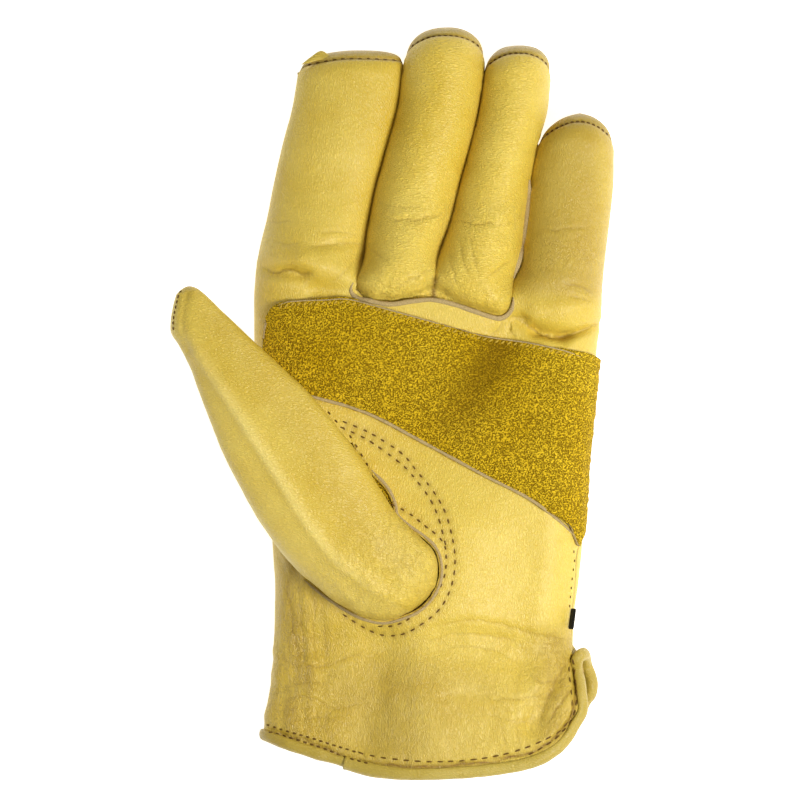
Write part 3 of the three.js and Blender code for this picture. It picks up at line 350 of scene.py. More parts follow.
def run_distance(x, y, x0, y0, x1, y1):
    """Distance from a straight run, and the share along it of the nearest point."""
    dx, dy = x1 - x0, y1 - y0
    share = np.clip(((x - x0) * dx + (y - y0) * dy) / (dx * dx + dy * dy), 0, 1)
    return np.hypot(x - x0 - share * dx, y - y0 - share * dy), share


def folds(x, y):
    """Depth of all main folds: each is a bell curve across its run."""
    depth = np.zeros(np.broadcast(x, y).shape)
    for x0, y0, x1, y1, width, deep in FOLDS[1]:
        away, _ = run_distance(x, y, x0, y0, x1, y1)
        depth = depth + deep * np.exp(-((away / width) ** 2))
    return depth


def slot_depth(y, crotch, start):
    """How deep a slot is cut beside a finger: start at its crotch, 1 from 12 mm above it."""
    return mix(start, 1, ease((y - crotch) / 12))


def fingertip(finger, u):
    """Top of a finger's outline at a share u from -1 to 1 across it: a rounded corner, which may lean."""
    inside = 1 - np.minimum(1, np.abs(u)) ** finger.square
    lean = finger.lean * np.clip(-u, 0, 1) ** 1.5
    return finger.tip - finger.corner * (1 - inside ** (1 / finger.square)) - lean


def clear_of_corners(x, y):
    """0 at the corners of the fingertips, where an outline turns sharply, and 1 away from them."""
    away = np.full(np.broadcast(x, y).shape, 2 * CORNER_REACH)
    for finger in FINGERS:
        for side in (0, 1):
            corner_y = float(fingertip(finger, 2 * side - 1))
            corner_x = float(span(finger, corner_y)[side])
            away = np.minimum(away, np.hypot(x - corner_x, y - corner_y))
    return ease(away / CORNER_REACH)


def span(finger, y):
    """Left and right edge of a finger at a height y along it."""
    left = EDGE[finger.left](y)
    right = EDGE[finger.right](y)
    if finger.crotch_left is not None:
        left = left + SLOT_HALF_GAP * ease((y - finger.crotch_left) / 2)
    if finger.crotch_right is not None:
        right = right - SLOT_HALF_GAP * ease((y - finger.crotch_right) / 2)
    return left, right


def finger_share(finger, x, y):
    """Share of its height that a finger's front keeps near its edges and its tip: quarter circles."""
    left, right = span(finger, y)
    centre, half = (left + right) / 2, (right - left) / 2
    left_depth = 1 if finger.crotch_left is None else slot_depth(y, finger.crotch_left, finger.dip)
    right_depth = 1 if finger.crotch_right is None else slot_depth(y, finger.crotch_right, finger.dip)
    tip = fingertip(finger, (x - centre) / half) - y
    over_left = 1 - left_depth * (1 - quarter((x - left) / half))
    over_right = 1 - right_depth * (1 - quarter((right - x) / half))
    return over_left * over_right * quarter(tip / finger.radius)


def edge_radius(finger, y, start):
    """Rounding radius of a side edge: the palm's, then half the finger's width from a height on."""
    left, right = span(finger, y)
    return mix(PALM_RADIUS, (right - left) / 2, ease((y - start) / 18))


def radial_radius(y):
    """Rounding radius of the thumb-side edge."""
    return edge_radius(INDEX, y, 20)


def ulnar_radius(y):
    """Rounding radius of the little-finger edge."""
    return edge_radius(LITTLE, y, 16)


def palm_share(x, y):
    """Share of its height that the palm keeps near its edges. It rises and flattens beside the slit."""
    depth = 1 - 0.55 * ease((SLIT_TOP - y) / 18)
    t = (EDGE["ulnar"](y) - x) / ulnar_radius(y)
    profile = mix(quarter(t), 1 - (1 - np.clip(t, 0, 1)) ** 2, ease((SLIT_TOP - y) / 10))
    return quarter((x - EDGE["radial"](y)) / radial_radius(y)) * (1 - depth * (1 - profile))


def palm_front(x, y):
    """Outer height of the palm: the silhouette's height plus the crest's share, less the folds."""
    return WIDEST + (palm_height(x, y) - folds(x, y) - WIDEST) * palm_share(x, y)


def finger_front(finger, x, y):
    """Outer height of a finger's front. Separate fronts dive under the palm's edge at the base seam."""
    crest = FINGER_TOP[finger.name](y)
    if finger in (INDEX, LITTLE):
        crotch = finger.crotch_right if finger is INDEX else finger.crotch_left
        crest = mix(palm_height(x, y), crest, ease((y - crotch) / 9))
        full = WIDEST + (crest - folds(x, y) - WIDEST) * finger_share(finger, x, y)
        return np.where(y <= crotch, palm_front(x, y), full)
    above = y - FINGER_BASE(x)
    crest = crest + 2.4 * np.exp(-(((above - 10) / 9) ** 2))
    full = WIDEST + (crest - folds(x, y) - WIDEST) * finger_share(finger, x, y)
    under = palm_front(x, np.minimum(y, FINGER_BASE(x))) - 2.2
    lag = 0.5 + 2.6 * np.exp(-(((x - EDGE["slot2"](y)) / 5) ** 2))
    return mix(under, full, quarter((above - lag) / 5.0) * ease((above - lag) / 1.6))


def cuff_lift(y):
    """The back's rise at the cuff's free edge, which makes room for its binding."""
    return 2.5 * ease((-94 - y) / 14)


def back_height(d, y, depth=1.0):
    """Outer height of the back at a distance d from an edge: flat below, a quarter circle up to the edge."""
    return mix(cuff_lift(y), WIDEST, depth * (1 - quarter(d / BACK_RADIUS)))


def side_point(edge_x, sign, angle, y, radius, front):
    """A point of a section's outline at an angle round its edge: 0 at the silhouette, 90 degrees on top."""
    d = np.where(angle >= 0, radius, BACK_RADIUS) * (1 - np.cos(angle))
    x = edge_x + sign * d
    return x, y + 0 * x, np.where(angle >= 0, front(x, y), back_height(d, y))


def near_corner(finger, y):
    """0 along a finger and 1 from where its outline turns into its tip."""
    return ease((y - (fingertip(finger, 1.0) - 6)) / 6)


def radial_seam(y):
    """Angle of the seam between front and back round the thumb-side edge."""
    return LOW_SEAM * (1 - near_corner(INDEX, y))


def ulnar_seam(y):
    """Angle of the seam between front and back round the little-finger edge."""
    return np.where(y > -15, LOW_SEAM * (1 - near_corner(LITTLE, y)), np.radians(SEAM_ANGLE(y)))


def tip_seam(u):
    """How far the tip seam lies in from the silhouette, at a share u across the finger."""
    return 2.5 * (1 - np.abs(u) ** 5)


def past_tip_seam(finger, x, y):
    """The share from -1 to 1 across a finger, and how far a point lies beyond its tip seam."""
    left, right = span(finger, y)
    share = (x - (left + right) / 2) / ((right - left) / 2)
    return share, y - (fingertip(finger, share) - tip_seam(np.clip(share, -1, 1)))


def around_radial(t, y, front):
    """Front columns round the thumb-side edge, from the seam to where the top is flat."""
    angle = mix(radial_seam(y) + SEAM_STEP, math.pi / 2, t)
    return side_point(EDGE["radial"](y), 1, angle, y, radial_radius(y), front)


def around_ulnar(t, y, front):
    """Front columns round the little-finger edge, from the flat top to the seam."""
    angle = mix(math.pi / 2, ulnar_seam(y) + SEAM_STEP, t)
    return side_point(EDGE["ulnar"](y), -1, angle, y, ulnar_radius(y), front)


def index_inner(t, y, front):
    """The rest of the index column, from the flat top to the slot, closer set towards the slot."""
    _, right = span(INDEX, y)
    x = right - (right - EDGE["radial"](y) - radial_radius(y)) * (1 - np.sin(t * math.pi / 2))
    return x, y, front(x, y)


def little_inner(t, y, front):
    """The rest of the little-finger column, from the slot to the flat top."""
    left, _ = span(LITTLE, y)
    x = left + (EDGE["ulnar"](y) - ulnar_radius(y) - left) * (1 - np.cos(t * math.pi / 2))
    return x, y, front(x, y)


# Rows of points up the hand in three stretches, with the heights between them, up a finger and over its tip.
HAND_ROWS = (46, 100, 32)
HAND_BREAKS = (-80.0, 12.0)
FINGER_ROWS = 84
TIP_ROWS = 18


def hand_row(v, bottom, top):
    """Height y of a row of the hand: three even stretches from the free edge over both breaks to the top."""
    total = sum(HAND_ROWS)
    first = HAND_ROWS[0] / total
    second = first + HAND_ROWS[1] / total
    low = mix(bottom, HAND_BREAKS[0], v / first)
    middle = mix(*HAND_BREAKS, (v - first) / (second - first))
    high = mix(HAND_BREAKS[1], top, (v - second) / (1 - second))
    return np.where(v <= first, low, np.where(v <= second, middle, high))


def row_height(finger, start, u, v):
    """Height y of a row of a finger: even up to the tip's rounding, then by angle to the tip seam."""
    bend = FINGER_ROWS / (FINGER_ROWS + TIP_ROWS)
    top = fingertip(finger, u)
    even = mix(start, top - finger.radius, v / bend)
    last = np.arccos(1 - (tip_seam(u) + 0.12) / finger.radius)
    angle = mix(math.pi / 2, last, (v - bend) / (1 - bend))
    return np.where(v < bend, even, top - finger.radius * (1 - np.cos(angle)))


def grid(columns, rows, at):
    """Points of a two-parameter surface on an even grid, as an array of rows, columns and coordinates."""
    u, v = np.meshgrid(np.linspace(0, 1, columns + 1), np.linspace(0, 1, rows + 1))
    return np.stack(np.broadcast_arrays(*at(u, v)), axis=-1)


def palm_grids():
    """The palm with the index and little fingers' fronts: five zones across the hand, then both fingers."""
    rows = sum(HAND_ROWS)
    index_base = INDEX.crotch_right
    little_base = LITTLE.crotch_left

    def index_top(x, y):
        return finger_front(INDEX, x, y)

    def little_top(x, y):
        return finger_front(LITTLE, x, y)

    def zone(place, top):
        def at(u, v):
            bottom = CUFF_FRONT(place(u, np.full_like(u, CUFF_LINE))[0])
            return place(u, hand_row(v, bottom, top(u)))

        return at

    def side_zone(place, height):
        return zone(lambda u, y: place(u, y, palm_front), lambda u: height + 0 * u)

    def middle(u, y):
        x = mix(EDGE["slot1"](y), EDGE["slot3"](y), u)
        return x, y, palm_front(x, y)

    def base(u):
        return FINGER_BASE(mix(EDGE["slot1"](index_base), EDGE["slot3"](little_base), u))

    def index_side(t, v):
        return around_radial(t, row_height(INDEX, index_base, -np.cos(t * math.pi / 2), v), index_top)

    def index_slot(t, v):
        return index_inner(t, row_height(INDEX, index_base, np.sin(t * math.pi / 2), v), index_top)

    def little_slot(t, v):
        return little_inner(t, row_height(LITTLE, little_base, -np.cos(t * math.pi / 2), v), little_top)

    def little_side(t, v):
        return around_ulnar(t, row_height(LITTLE, little_base, np.sin(t * math.pi / 2), v), little_top)

    finger_rows = FINGER_ROWS + TIP_ROWS
    return [
        grid(34, rows, side_zone(around_radial, index_base)),
        grid(22, rows, side_zone(index_inner, index_base)),
        grid(58, rows, zone(middle, base)),
        grid(22, rows, side_zone(little_inner, little_base)),
        grid(34, rows, side_zone(around_ulnar, little_base)),
        grid(34, finger_rows, index_side),
        grid(22, finger_rows, index_slot),
        grid(22, finger_rows, little_slot),
        grid(34, finger_rows, little_side),
    ]


def finger_grid(finger):
    """A separate finger front: columns by angle across it, a few rows tucked under the palm's edge."""
    base_line = 36.0
    tuck_rows = 6
    rows = tuck_rows + FINGER_ROWS + TIP_ROWS

    def at(s, v):
        u = -np.cos(s * math.pi)
        start = FINGER_BASE(mix(EDGE[finger.left](base_line), EDGE[finger.right](base_line), (u + 1) / 2))
        row = (v * rows - tuck_rows) / (FINGER_ROWS + TIP_ROWS)
        tucked = start + 0.6 + 3.8 * np.minimum(0, row * rows / tuck_rows)
        y = np.where(row < 0, tucked, row_height(finger, start + 0.6, u, np.maximum(row, 0)))
        left, right = span(finger, y)
        left = left + SLOT_HALF_GAP * (1 - ease((y - finger.crotch_left) / 2))
        right = right - SLOT_HALF_GAP * (1 - ease((y - finger.crotch_right) / 2))
        x = mix(left, right, (u + 1) / 2)
        return x, y, finger_front(finger, x, y)

    return grid(64, rows, at)


# Shares of the back's columns where the turned-up edge ends and where the next one starts.
BACK_SHARES = {"index": (0.5, 0.62), "middle": (0.42, 0.58), "ring": (0.42, 0.58), "little": (0.38, 0.5)}


def back_place(finger, s, y):
    """One row of the back below a finger: an outer edge turns up to the seam, a slot edge part of the way."""
    left, right = span(finger, y)
    first = finger.crotch_left
    last = finger.crotch_right
    edge_right = back_ulnar(y) if last is None else right
    reach = np.minimum(BACK_RADIUS, (edge_right - left) / 2)
    left_share, right_share = BACK_SHARES[finger.name]

    def inset(crotch):
        seam = BACK_RADIUS * (1 - math.cos(LOW_SEAM))
        return seam * slot_depth(y, crotch, 0) * (1 - near_corner(finger, y))

    t = np.clip(1 - s / left_share, 0, 1)
    if first is None:
        angle = mix(-math.pi / 2, radial_seam(y) - SEAM_STEP, t)
        x1, _, z1 = side_point(left, 1, angle, y, radial_radius(y), palm_front)
    else:
        d = mix(reach, inset(first), np.sin(t * math.pi / 2))
        x1, z1 = left + d, back_height(d, y, slot_depth(y, first, 0))
    t = np.clip((s - right_share) / (1 - right_share), 0, 1)
    if last is None:
        x3, _, z3 = ulnar_back(t, y)
    else:
        d = mix(reach, inset(last), np.sin(t * math.pi / 2))
        x3, z3 = right - d, back_height(d, y, slot_depth(y, last, 0))
    flat = np.clip((s - left_share) / (right_share - left_share), 0, 1)
    x2 = mix(left + reach, edge_right - reach, flat)
    z2 = back_height(BACK_RADIUS, y)
    x = np.where(s < left_share, x1, np.where(s > right_share, x3, x2))
    z = np.where(s < left_share, z1, np.where(s > right_share, z3, z2))
    return x, y + 0 * x, z


def ulnar_back(t, y):
    """The back's outer edge: up to the seam, or out to its curled free edge beside the slit."""
    angle = mix(-math.pi / 2, ulnar_seam(y) - SEAM_STEP, t)
    x, _, z = side_point(EDGE["ulnar"](y), -1, angle, y, ulnar_radius(y), palm_front)
    open_x = back_ulnar(y) - BACK_RADIUS * (1 - t)
    open_z = mix(cuff_lift(y), CURLED_EDGE, t**3)
    share = np.where(y < SLIT_TOP, ease((SLIT_TOP - y) / 9), 0)
    return mix(x, open_x, share), y, mix(z, open_z, share)


def back_grids():
    """The back of the hand, each finger's back, and the turn over each fingertip up to the tip seam."""
    rows = sum(HAND_ROWS) // 2
    grids = []
    for finger in FINGERS:
        first = finger.crotch_left or finger.crotch_right
        last = finger.crotch_right or finger.crotch_left
        tip_start = fingertip(finger, 1.0)
        left, right = span(finger, tip_start)

        def across(s, finger=finger, tip_start=tip_start, left=left, right=right):
            x = back_place(finger, s, tip_start + 0 * s)[0]
            return np.clip((x - (left + right) / 2) / ((right - left) / 2), -1, 1)

        def hand(s, v, finger=finger, first=first, last=last):
            bottom = CUFF_BACK(back_place(finger, s, np.full_like(s, CUFF_LINE))[0])
            return back_place(finger, s, hand_row(v, bottom, mix(first, last, s)))

        def length(s, v, finger=finger, first=first, last=last, across=across):
            top = fingertip(finger, across(s)) - finger.radius
            return back_place(finger, s, mix(mix(first, last, s), top, v))

        def tip(s, v, finger=finger, across=across):
            top = fingertip(finger, across(s))
            seam = np.arccos(1 - tip_seam(across(s)) / finger.radius)
            turn = np.where(v < 0.8, math.pi / 2 * (v / 0.8 - 1), seam * (v - 0.8) / 0.2)
            y = top - finger.radius * (1 - np.cos(turn))
            x, _, z = back_place(finger, s, y)
            low = mix(z, WIDEST, 1 - quarter((top - y) / finger.radius))
            return x, y, np.where(turn > 0, finger_front(finger, x, y), low)

        grids += [grid(44, rows, hand), grid(44, FINGER_ROWS // 2, length), grid(44, 30, tip)]
    return [points[:, ::-1] for points in grids]


def fourchette_grids(slot, before, after):
    """Side wall between two fingers: down one finger, round the crotch and up the next, inside both edges."""
    crotch = before.crotch_right
    inset = 1.9
    reach = WALL_GAP + inset
    roof = palm_front(EDGE[slot](crotch), crotch - reach) - 3.9

    def side(sign, finger):
        def at(u, v):
            y = mix(crotch, fingertip(finger, 1.0) - 0.6, v)
            left, right = span(finger, y)
            depth = slot_depth(y, crotch, 0)
            low = mix(1.9, 4.6, depth)
            top = finger_front(finger, right if sign < 0 else left, y) + mix(-2.3, 1.4, depth)
            z = mix(low, np.minimum(top, mix(roof, 99, ease((y - crotch) / 3))), u)
            radius = BACK_RADIUS - inset
            curl = depth * radius * (1 - np.sqrt(1 - np.clip((BACK_RADIUS - z) / radius, 0, 1) ** 2))
            return EDGE[slot](y) + sign * (reach + curl), y, z

        return at

    def turn(u, v):
        angle = v * math.pi
        x = EDGE[slot](crotch) - reach * np.cos(angle)
        return x, crotch - reach * np.sin(angle), mix(1.9, roof, u)

    return [
        grid(26, 90, side(-1, before))[:, ::-1],
        grid(26, 14, turn),
        grid(26, 90, side(1, after)),
    ]


def thumb_grid():
    """The thumb's loft: sections across it, rounded below, with a flat slope up to a ridge on its outside."""
    names, rows = THUMB
    table = (("i",) + names, tuple((i,) + row for i, row in enumerate(rows)))
    at = {key: curve(table, "i", key) for key in names}

    def place(u, v):
        i = v * (len(rows) - 1)
        left = np.stack([at["left_x"](i), at["left_y"](i)])
        right = np.stack([at["right_x"](i), at["right_y"](i)])
        centre, half = (left + right) / 2, (right - left) / 2
        angle = -2 * math.pi * u
        across = np.cos(angle)
        middle = (at["low"](i) + at["high"](i)) / 2
        rise = (at["high"](i) - at["low"](i)) / 2
        height = np.sign(np.sin(angle)) * np.abs(np.sin(angle)) ** np.where(across > 0, 0.5, 0.68)
        share = (across + 1) / 2
        ridge = at["ridge"](i)
        width = 2 * np.hypot(*half)
        from_ridge = (share - ridge) * width
        crest = 0.7 * np.exp(-((from_ridge / np.where(from_ridge > 0, 3.0, 2.0)) ** 2))
        hollow = 0.2 * np.exp(-(((share - ridge * 0.45) / (ridge * 0.5)) ** 2))
        shape = np.where(height > 0, np.minimum(1, height * 2) * (crest - hollow), 0)
        fade = ease(v / 0.2) * ease((1 - v) / 0.12)
        x = centre[0] + half[0] * across
        y = centre[1] + half[1] * across
        return x, y, middle + rise * height + shape * fade

    body = grid(150, 210, place)
    middle = body[-1].mean(axis=0)
    tip = middle + np.array([-0.2, 1.9, 0.0])
    shares = np.array([0.3, 0.6, 0.85, 1.0]).reshape(-1, 1, 1)
    rings = mix(body[-1][None], tip[None, None], shares)
    rings = rings + (1 - (1 - shares) ** 2 - shares) * (tip - middle) * 0.9
    return np.concatenate([body, rings])


# Stations of the cuff's binding, in order. It starts on the front, left of the middle, and ends there.
# The turn is the way into the panel, in degrees from straight up the hand towards the thumb.
BINDING_FRONT = (
    ("x", "turn"),
    ((-16, 0), (-11, 0), (-4, 0), (4, 0), (12, 0), (20, 0), (28, 0), (36, 0), (43, 0), (48, 0), (52.5, 18),
     (56.5, 36), (59.8, 52), (62.2, 70)),
)
BINDING_SLIT = (("y",), ((-104.6,), (-99.7,), (-94.8,), (-89.8,)))
BINDING_APEX = (
    ("x", "y", "z", "in_x", "in_y"),
    ((63.4, -86.6, 14.6, -0.8, 0.6), (65, -85.8, 12.2, -0.6, 0.8), (65.6, -86.4, 9.4, -0.75, 0.66)),
)
BINDING_BACK_SLIT = (("y",), ((-89.6,), (-94.3,), (-99,)))
BINDING_BACK = (
    ("x", "turn"),
    ((66.4, 66), (64.4, 50), (60.5, 34), (56, 18), (50, 0), (42, 0), (34, 0), (25, 0), (16, 0), (7, 0),
     (-2, 0), (-11, 0), (-20, 0), (-29, 0), (-35, 0)),
)
BINDING_SIDE = (("turn",), ((-64,), (-40,), (-16,), (10,), (34,), (56,)))
BINDING_END = (("x",), ((-33,), (-27,), (-21,), (-14,)))
# The binding's profile as (into the panel, outwards): a puffed roll, and a longer leg turned in below.
BINDING_PROFILE = (
    (2.3, 0.95), (2.25, 1.55), (1.6, 2), (0.5, 2.2), (-0.8, 1.9), (-1.6, 1.1), (-1.9, 0), (-1.7, -1.1),
    (-0.9, -1.9), (0.4, -2.1), (3, -2), (5.4, -1.95), (5.6, -1.6), (5.4, -1.25), (3, -1.1), (0.2, -1.05),
    (-0.5, -0.7), (-0.6, 0), (-0.5, 0.7), (0.2, 0.9),
)


def with_caps(rings):
    """The rings of a tube with both ends closed to a point."""
    first, last = (np.broadcast_to(ring.mean(axis=0), ring.shape)[None] for ring in (rings[0], rings[-1]))
    return np.concatenate([first, rings, last])


def back_surface(x, y):
    """Height of the back near the cuff, out to its curled edge beside the slit."""
    outer = mix(cuff_lift(y), CURLED_EDGE, np.clip(1 - (back_ulnar(y) - x) / BACK_RADIUS, 0, 1) ** 3)
    return np.where(x < 0, back_height(x - EDGE["radial"](y), y), outer)


def binding_stations():
    """Places on the cuff's free edge, in the middle of the leather, and the way into the panel at each."""
    places = []
    ways = []

    def station(surface, side, x, y, turn):
        step = np.array([-math.sin(math.radians(turn)), math.cos(math.radians(turn))]) * 3
        at = np.array([x, y, float(surface(x, y))])
        inner = np.array([x + step[0], y + step[1], float(surface(x + step[0], y + step[1]))])
        way = (inner - at) / np.linalg.norm(inner - at)
        along = np.array([step[1], -step[0], 0.0]) / 3
        out = np.cross(along, way)
        places.append(at - out / np.linalg.norm(out) * side * HALF_LEATHER)
        ways.append(way)

    for x, turn in BINDING_FRONT[1]:
        station(palm_front, 1, x, float(CUFF_FRONT(x)), turn)
    for (y,) in BINDING_SLIT[1]:
        station(palm_front, 1, float(EDGE["ulnar"](y)) + 0.8, y, 90)
    for x, y, z, in_x, in_y in BINDING_APEX[1]:
        places.append(np.array([x, y, z]))
        ways.append(np.array([in_x, in_y, 0.0]))
    for (y,) in BINDING_BACK_SLIT[1]:
        station(back_surface, -1, float(back_ulnar(y)), y, 90)
    for x, turn in BINDING_BACK[1]:
        station(back_surface, -1, x, float(CUFF_BACK(x)), turn)
    for (turn,) in BINDING_SIDE[1]:
        angle = math.radians(turn)
        x, _, z = side_point(EDGE["radial"](CUFF_LINE), 1, angle, CUFF_LINE, PALM_RADIUS, palm_front)
        y = mix(CUFF_BACK(x), CUFF_FRONT(x), min(1.0, max(0.0, (turn + 50) / 60)))
        places.append(np.array([x + HALF_LEATHER * math.cos(angle), y, z - HALF_LEATHER * math.sin(angle)]))
        ways.append(np.array([0.0, 1.0, 0.0]))
    for (x,) in BINDING_END[1]:
        station(palm_front, 1, x, float(CUFF_FRONT(x)), 0)
    return np.array(places), np.array(ways)


def binding_grid():
    """The binding's profile carried along the cuff. Its first end is puffed up, and laps over its last."""
    places, ways = binding_stations()
    even = smooth_path(np.hstack([places, ways]), 0.55)
    places, ways = even[:, :3], even[:, 3:]
    along = unit(np.gradient(places, axis=0))
    out = unit(np.cross(along, ways))
    inwards = np.cross(out, along)
    profile = smooth_path(BINDING_PROFILE + BINDING_PROFILE[:1], 0.45)
    run = np.linalg.norm(np.diff(places, axis=0), axis=1).cumsum()
    run = np.concatenate([[0], run])
    lap = 1 - ease((run - 3) / 16)
    under = ease((run - run[-1] + 12) / 6)
    size = 1 + 0.14 * lap - 0.16 * under
    rings = (
        places[:, None]
        + inwards[:, None] * (profile[None, :, :1] * size[:, None, None] - 0.25 * lap[:, None, None])
        + out[:, None] * profile[None, :, 1:] * size[:, None, None]
    )
    rings[:, -1] = rings[:, 0]
    return with_caps(rings)


def binding_relief(x, y):
    """Relief of the binding: small puckers across it, drawn in by its stitches."""
    return 0.10 * noise(x, y, 2.4, 71) + 0.12 * noise(x, y, 5.0, 72), {}


def tab_grid():
    """The side tab: a tape folded over on itself, a rounded bar that thins at both ends and slants a little
    along its length.
    """
    length, reach, tape = 7.0, 1.5, 0.5

    def place(u, v):
        angle = 2 * math.pi * u
        across = reach * np.sign(np.cos(angle)) * np.abs(np.cos(angle)) ** 0.45
        rise = tape * np.sign(np.sin(angle)) * np.abs(np.sin(angle)) ** 0.6
        turn = math.radians(-64)
        end = np.minimum(1, 12 * np.minimum(v, 1 - v))
        across, rise = across * (0.9 + 0.1 * end), rise * (0.7 + 0.3 * end)
        x = 61.5 - 0.9 * v + across * math.cos(turn) - rise * math.sin(turn)
        z = 18.3 - across * math.sin(turn) * 0.9 + rise * math.cos(turn)
        return x, -69.8 - length * v, z

    return with_caps(grid(40, 30, place))[:, ::-1]


def gusset_grid():
    """The strip under the palm's edge beside the thumb: along that edge, and down and in under the thumb."""
    edge = smooth_path(THUMB_EDGE[14:], 1.0)
    ahead = unit(np.gradient(edge, axis=0))
    inwards = np.stack([-ahead[:, 1], ahead[:, 0]], axis=1)
    shares = np.linspace(0, 1, 15)
    places = edge[None] + inwards[None] * (shares[:, None, None] * 11 - 1.8)
    sag = 1.6 + 1.2 * np.sin(shares * math.pi * 0.8)
    rough = 0.15 * noise(places[..., 0], places[..., 1], 2.0, 81)
    height = palm_front(edge[:, 0], edge[:, 1])[None] - sag[:, None] + rough
    return np.concatenate([places, height[..., None]], axis=-1)[::-1]


TAG_CORNERS = (
    (-31.2, 114.9), (-28.0, 117.5), (-24.4, 119.8), (-22.2, 118.8), (-20.6, 117.4), (-26.0, 116.2),
)


def tag_grid():
    """The tag at the index fingertip: a small triangle of leather, a flat pillow with a rounded rim."""
    corners = np.array(TAG_CORNERS)
    middle = corners.mean(axis=0)
    outline = smooth_path(np.concatenate([corners, corners[:1]]), 0.7)
    rings = []
    for angle in np.linspace(-math.pi / 2, math.pi / 2, 9):
        size = max(0.0, math.cos(angle)) ** 0.35
        place = middle + (outline - middle) * size
        lift = 16.4 + 0.55 * math.sin(angle) - 0.35 * (place[:, 1] - 114)
        rings.append(np.column_stack([place, lift]))
    return np.array(rings)[::-1]


def patch_grid():
    """The suede patch: it lies on the palm and runs round the little-finger edge to the side seam."""
    start = PATCH_EDGES[1][0][0]

    def at(u, v):
        turn = np.clip((u - PATCH_FLAT) / (1 - PATCH_FLAT), 0, 1)
        nominal = mix(start, PATCH_END, u)
        for _ in range(4):
            y = mix(PATCH_BOTTOM(nominal), PATCH_TOP(nominal), v)
            end = EDGE["ulnar"](y) - PALM_RADIUS
            reach = mix(start, end, np.minimum(1, u / PATCH_FLAT))
            nominal = mix(reach, PATCH_END, turn)
        lowest = np.maximum(ulnar_seam(y) + math.radians(4), math.radians(4))
        angle = mix(math.pi / 2, lowest, turn)
        edge = side_point(EDGE["ulnar"](y), -1, angle, y, ulnar_radius(y), palm_front)
        x = np.where(u <= PATCH_FLAT, reach, edge[0])
        return x, y, np.where(u <= PATCH_FLAT, palm_front(x, y), edge[2])

    return grid(230, 104, at)


# Relief on top of the main shapes.
def noise(x, y, pitch, seed):
    """Smooth lattice noise from -1 to 1: seeded values on a square lattice, blended with a smooth step."""
    values = np.random.default_rng(seed).uniform(-1, 1, (128, 128))
    u, v = x / pitch + 500.0, y / pitch + 500.0
    i, j = np.floor(u).astype(int), np.floor(v).astype(int)
    s, t = ease(u - i), ease(v - j)
    low = mix(values[i % 128, j % 128], values[(i + 1) % 128, j % 128], s)
    high = mix(values[i % 128, (j + 1) % 128], values[(i + 1) % 128, (j + 1) % 128], s)
    return mix(low, high, t)


def path_distance(x, y, points):
    """Distance from a path of straight runs, the share along it of the nearest point, and its side."""
    points = np.asarray(points, dtype=float)
    lengths = np.hypot(*np.diff(points, axis=0).T)
    ends = np.concatenate([[0], np.cumsum(lengths)])
    best = np.full(np.broadcast(x, y).shape, 1e9)
    share = np.zeros_like(best)
    side = np.ones_like(best)
    for k in range(len(points) - 1):
        away, along = run_distance(x, y, *points[k], *points[k + 1])
        nearer = away < best
        best = np.where(nearer, away, best)
        share = np.where(nearer, (ends[k] + along * lengths[k]) / ends[-1], share)
        (x0, y0), (x1, y1) = points[k], points[k + 1]
        turn = (x1 - x0) * (y - y0) - (y1 - y0) * (x - x0)
        side = np.where(nearer, np.where(turn < 0, -1.0, 1.0), side)
    return best, share, side


def smooth_path(points, step):
    """An even, smooth path through points: a cubic curve against length along them."""
    points = np.asarray(points, dtype=float)
    at = np.concatenate([[0], np.cumsum(np.linalg.norm(np.diff(points, axis=0), axis=1))])
    names = ("s",) + tuple(str(k) for k in range(points.shape[1]))
    table = (names, tuple(map(tuple, np.column_stack([at, points]))))
    fine = np.linspace(0, at[-1], max(2, int(at[-1] / 0.2)))
    dense = np.column_stack([curve(table, "s", name)(fine) for name in names[1:]])
    run = np.concatenate([[0], np.cumsum(np.linalg.norm(np.diff(dense, axis=0), axis=1))])
    even = np.linspace(0, run[-1], max(2, int(round(run[-1] / step)) + 1))
    return np.column_stack([np.interp(even, run, dense[:, k]) for k in range(dense.shape[1])])


# Seen from above, in the glove's own coordinates.
THUMB_EDGE = (
    (-40.2, -47.8), (-34.5, -54.6), (-29.6, -59.2), (-23, -64.5), (-16.4, -69), (-9.8, -72.4),
    (-3.2, -73.8), (3.4, -72.2), (8.6, -69.8), (12.9, -65.6), (15.4, -60.4), (15.8, -55.4),
    (14.5, -50.3), (11, -46.4), (6.8, -43.4), (2.8, -40.4), (0.7, -38), (0.2, -34.6),
    (-2.4, -29.1), (-7.8, -23.3), (-14, -13),
)
ROW_A = (
    (-16, -6.6), (-9, -9.5), (-2.4, -13.3), (3.8, -17.7), (8.7, -23.7), (13.3, -29.2), (17.4, -36),
    (19.9, -43.9), (21.2, -52.6), (20.2, -61.2), (16.6, -69), (10.4, -74.6), (3.4, -78.4),
    (-3.6, -78.7), (-9.8, -76.1), (-16, -72.2),
)
ROW_B = (
    (-16.8, -8.5), (-9, -12.2), (-2, -16.9), (4.2, -21.8), (9, -27.4), (13.1, -33.2),
    (15.9, -40), (17.8, -47.2),
)
ROW_C = (
    (0.5, -34.7), (5.6, -37.4), (11.6, -42.1), (14.9, -44.7), (17.7, -48.3), (18.1, -56.1), (17, -60.4),
    (15.3, -64.1), (12.4, -67.4), (9.6, -69.9), (6.6, -72.4), (3.4, -74.4), (-0.7, -75.7), (-4, -75.7),
)
CUFF_ROW_LEFT = ((-42.3, -109.5), (-36, -111.4), (-27.1, -113.9), (-20, -116.1), (-13.1, -118.2))
CUFF_ROW = (
    (-10.4, -118.9), (-2.4, -120.4), (14.1, -121.5), (30.6, -120.4),
    (42.9, -117.6), (54.5, -112.7), (57.8, -110.2), (60.2, -106.9), (60.9, -101.6), (60.4, -95.8),
    (60, -90.8), (60.6, -86.7),
)

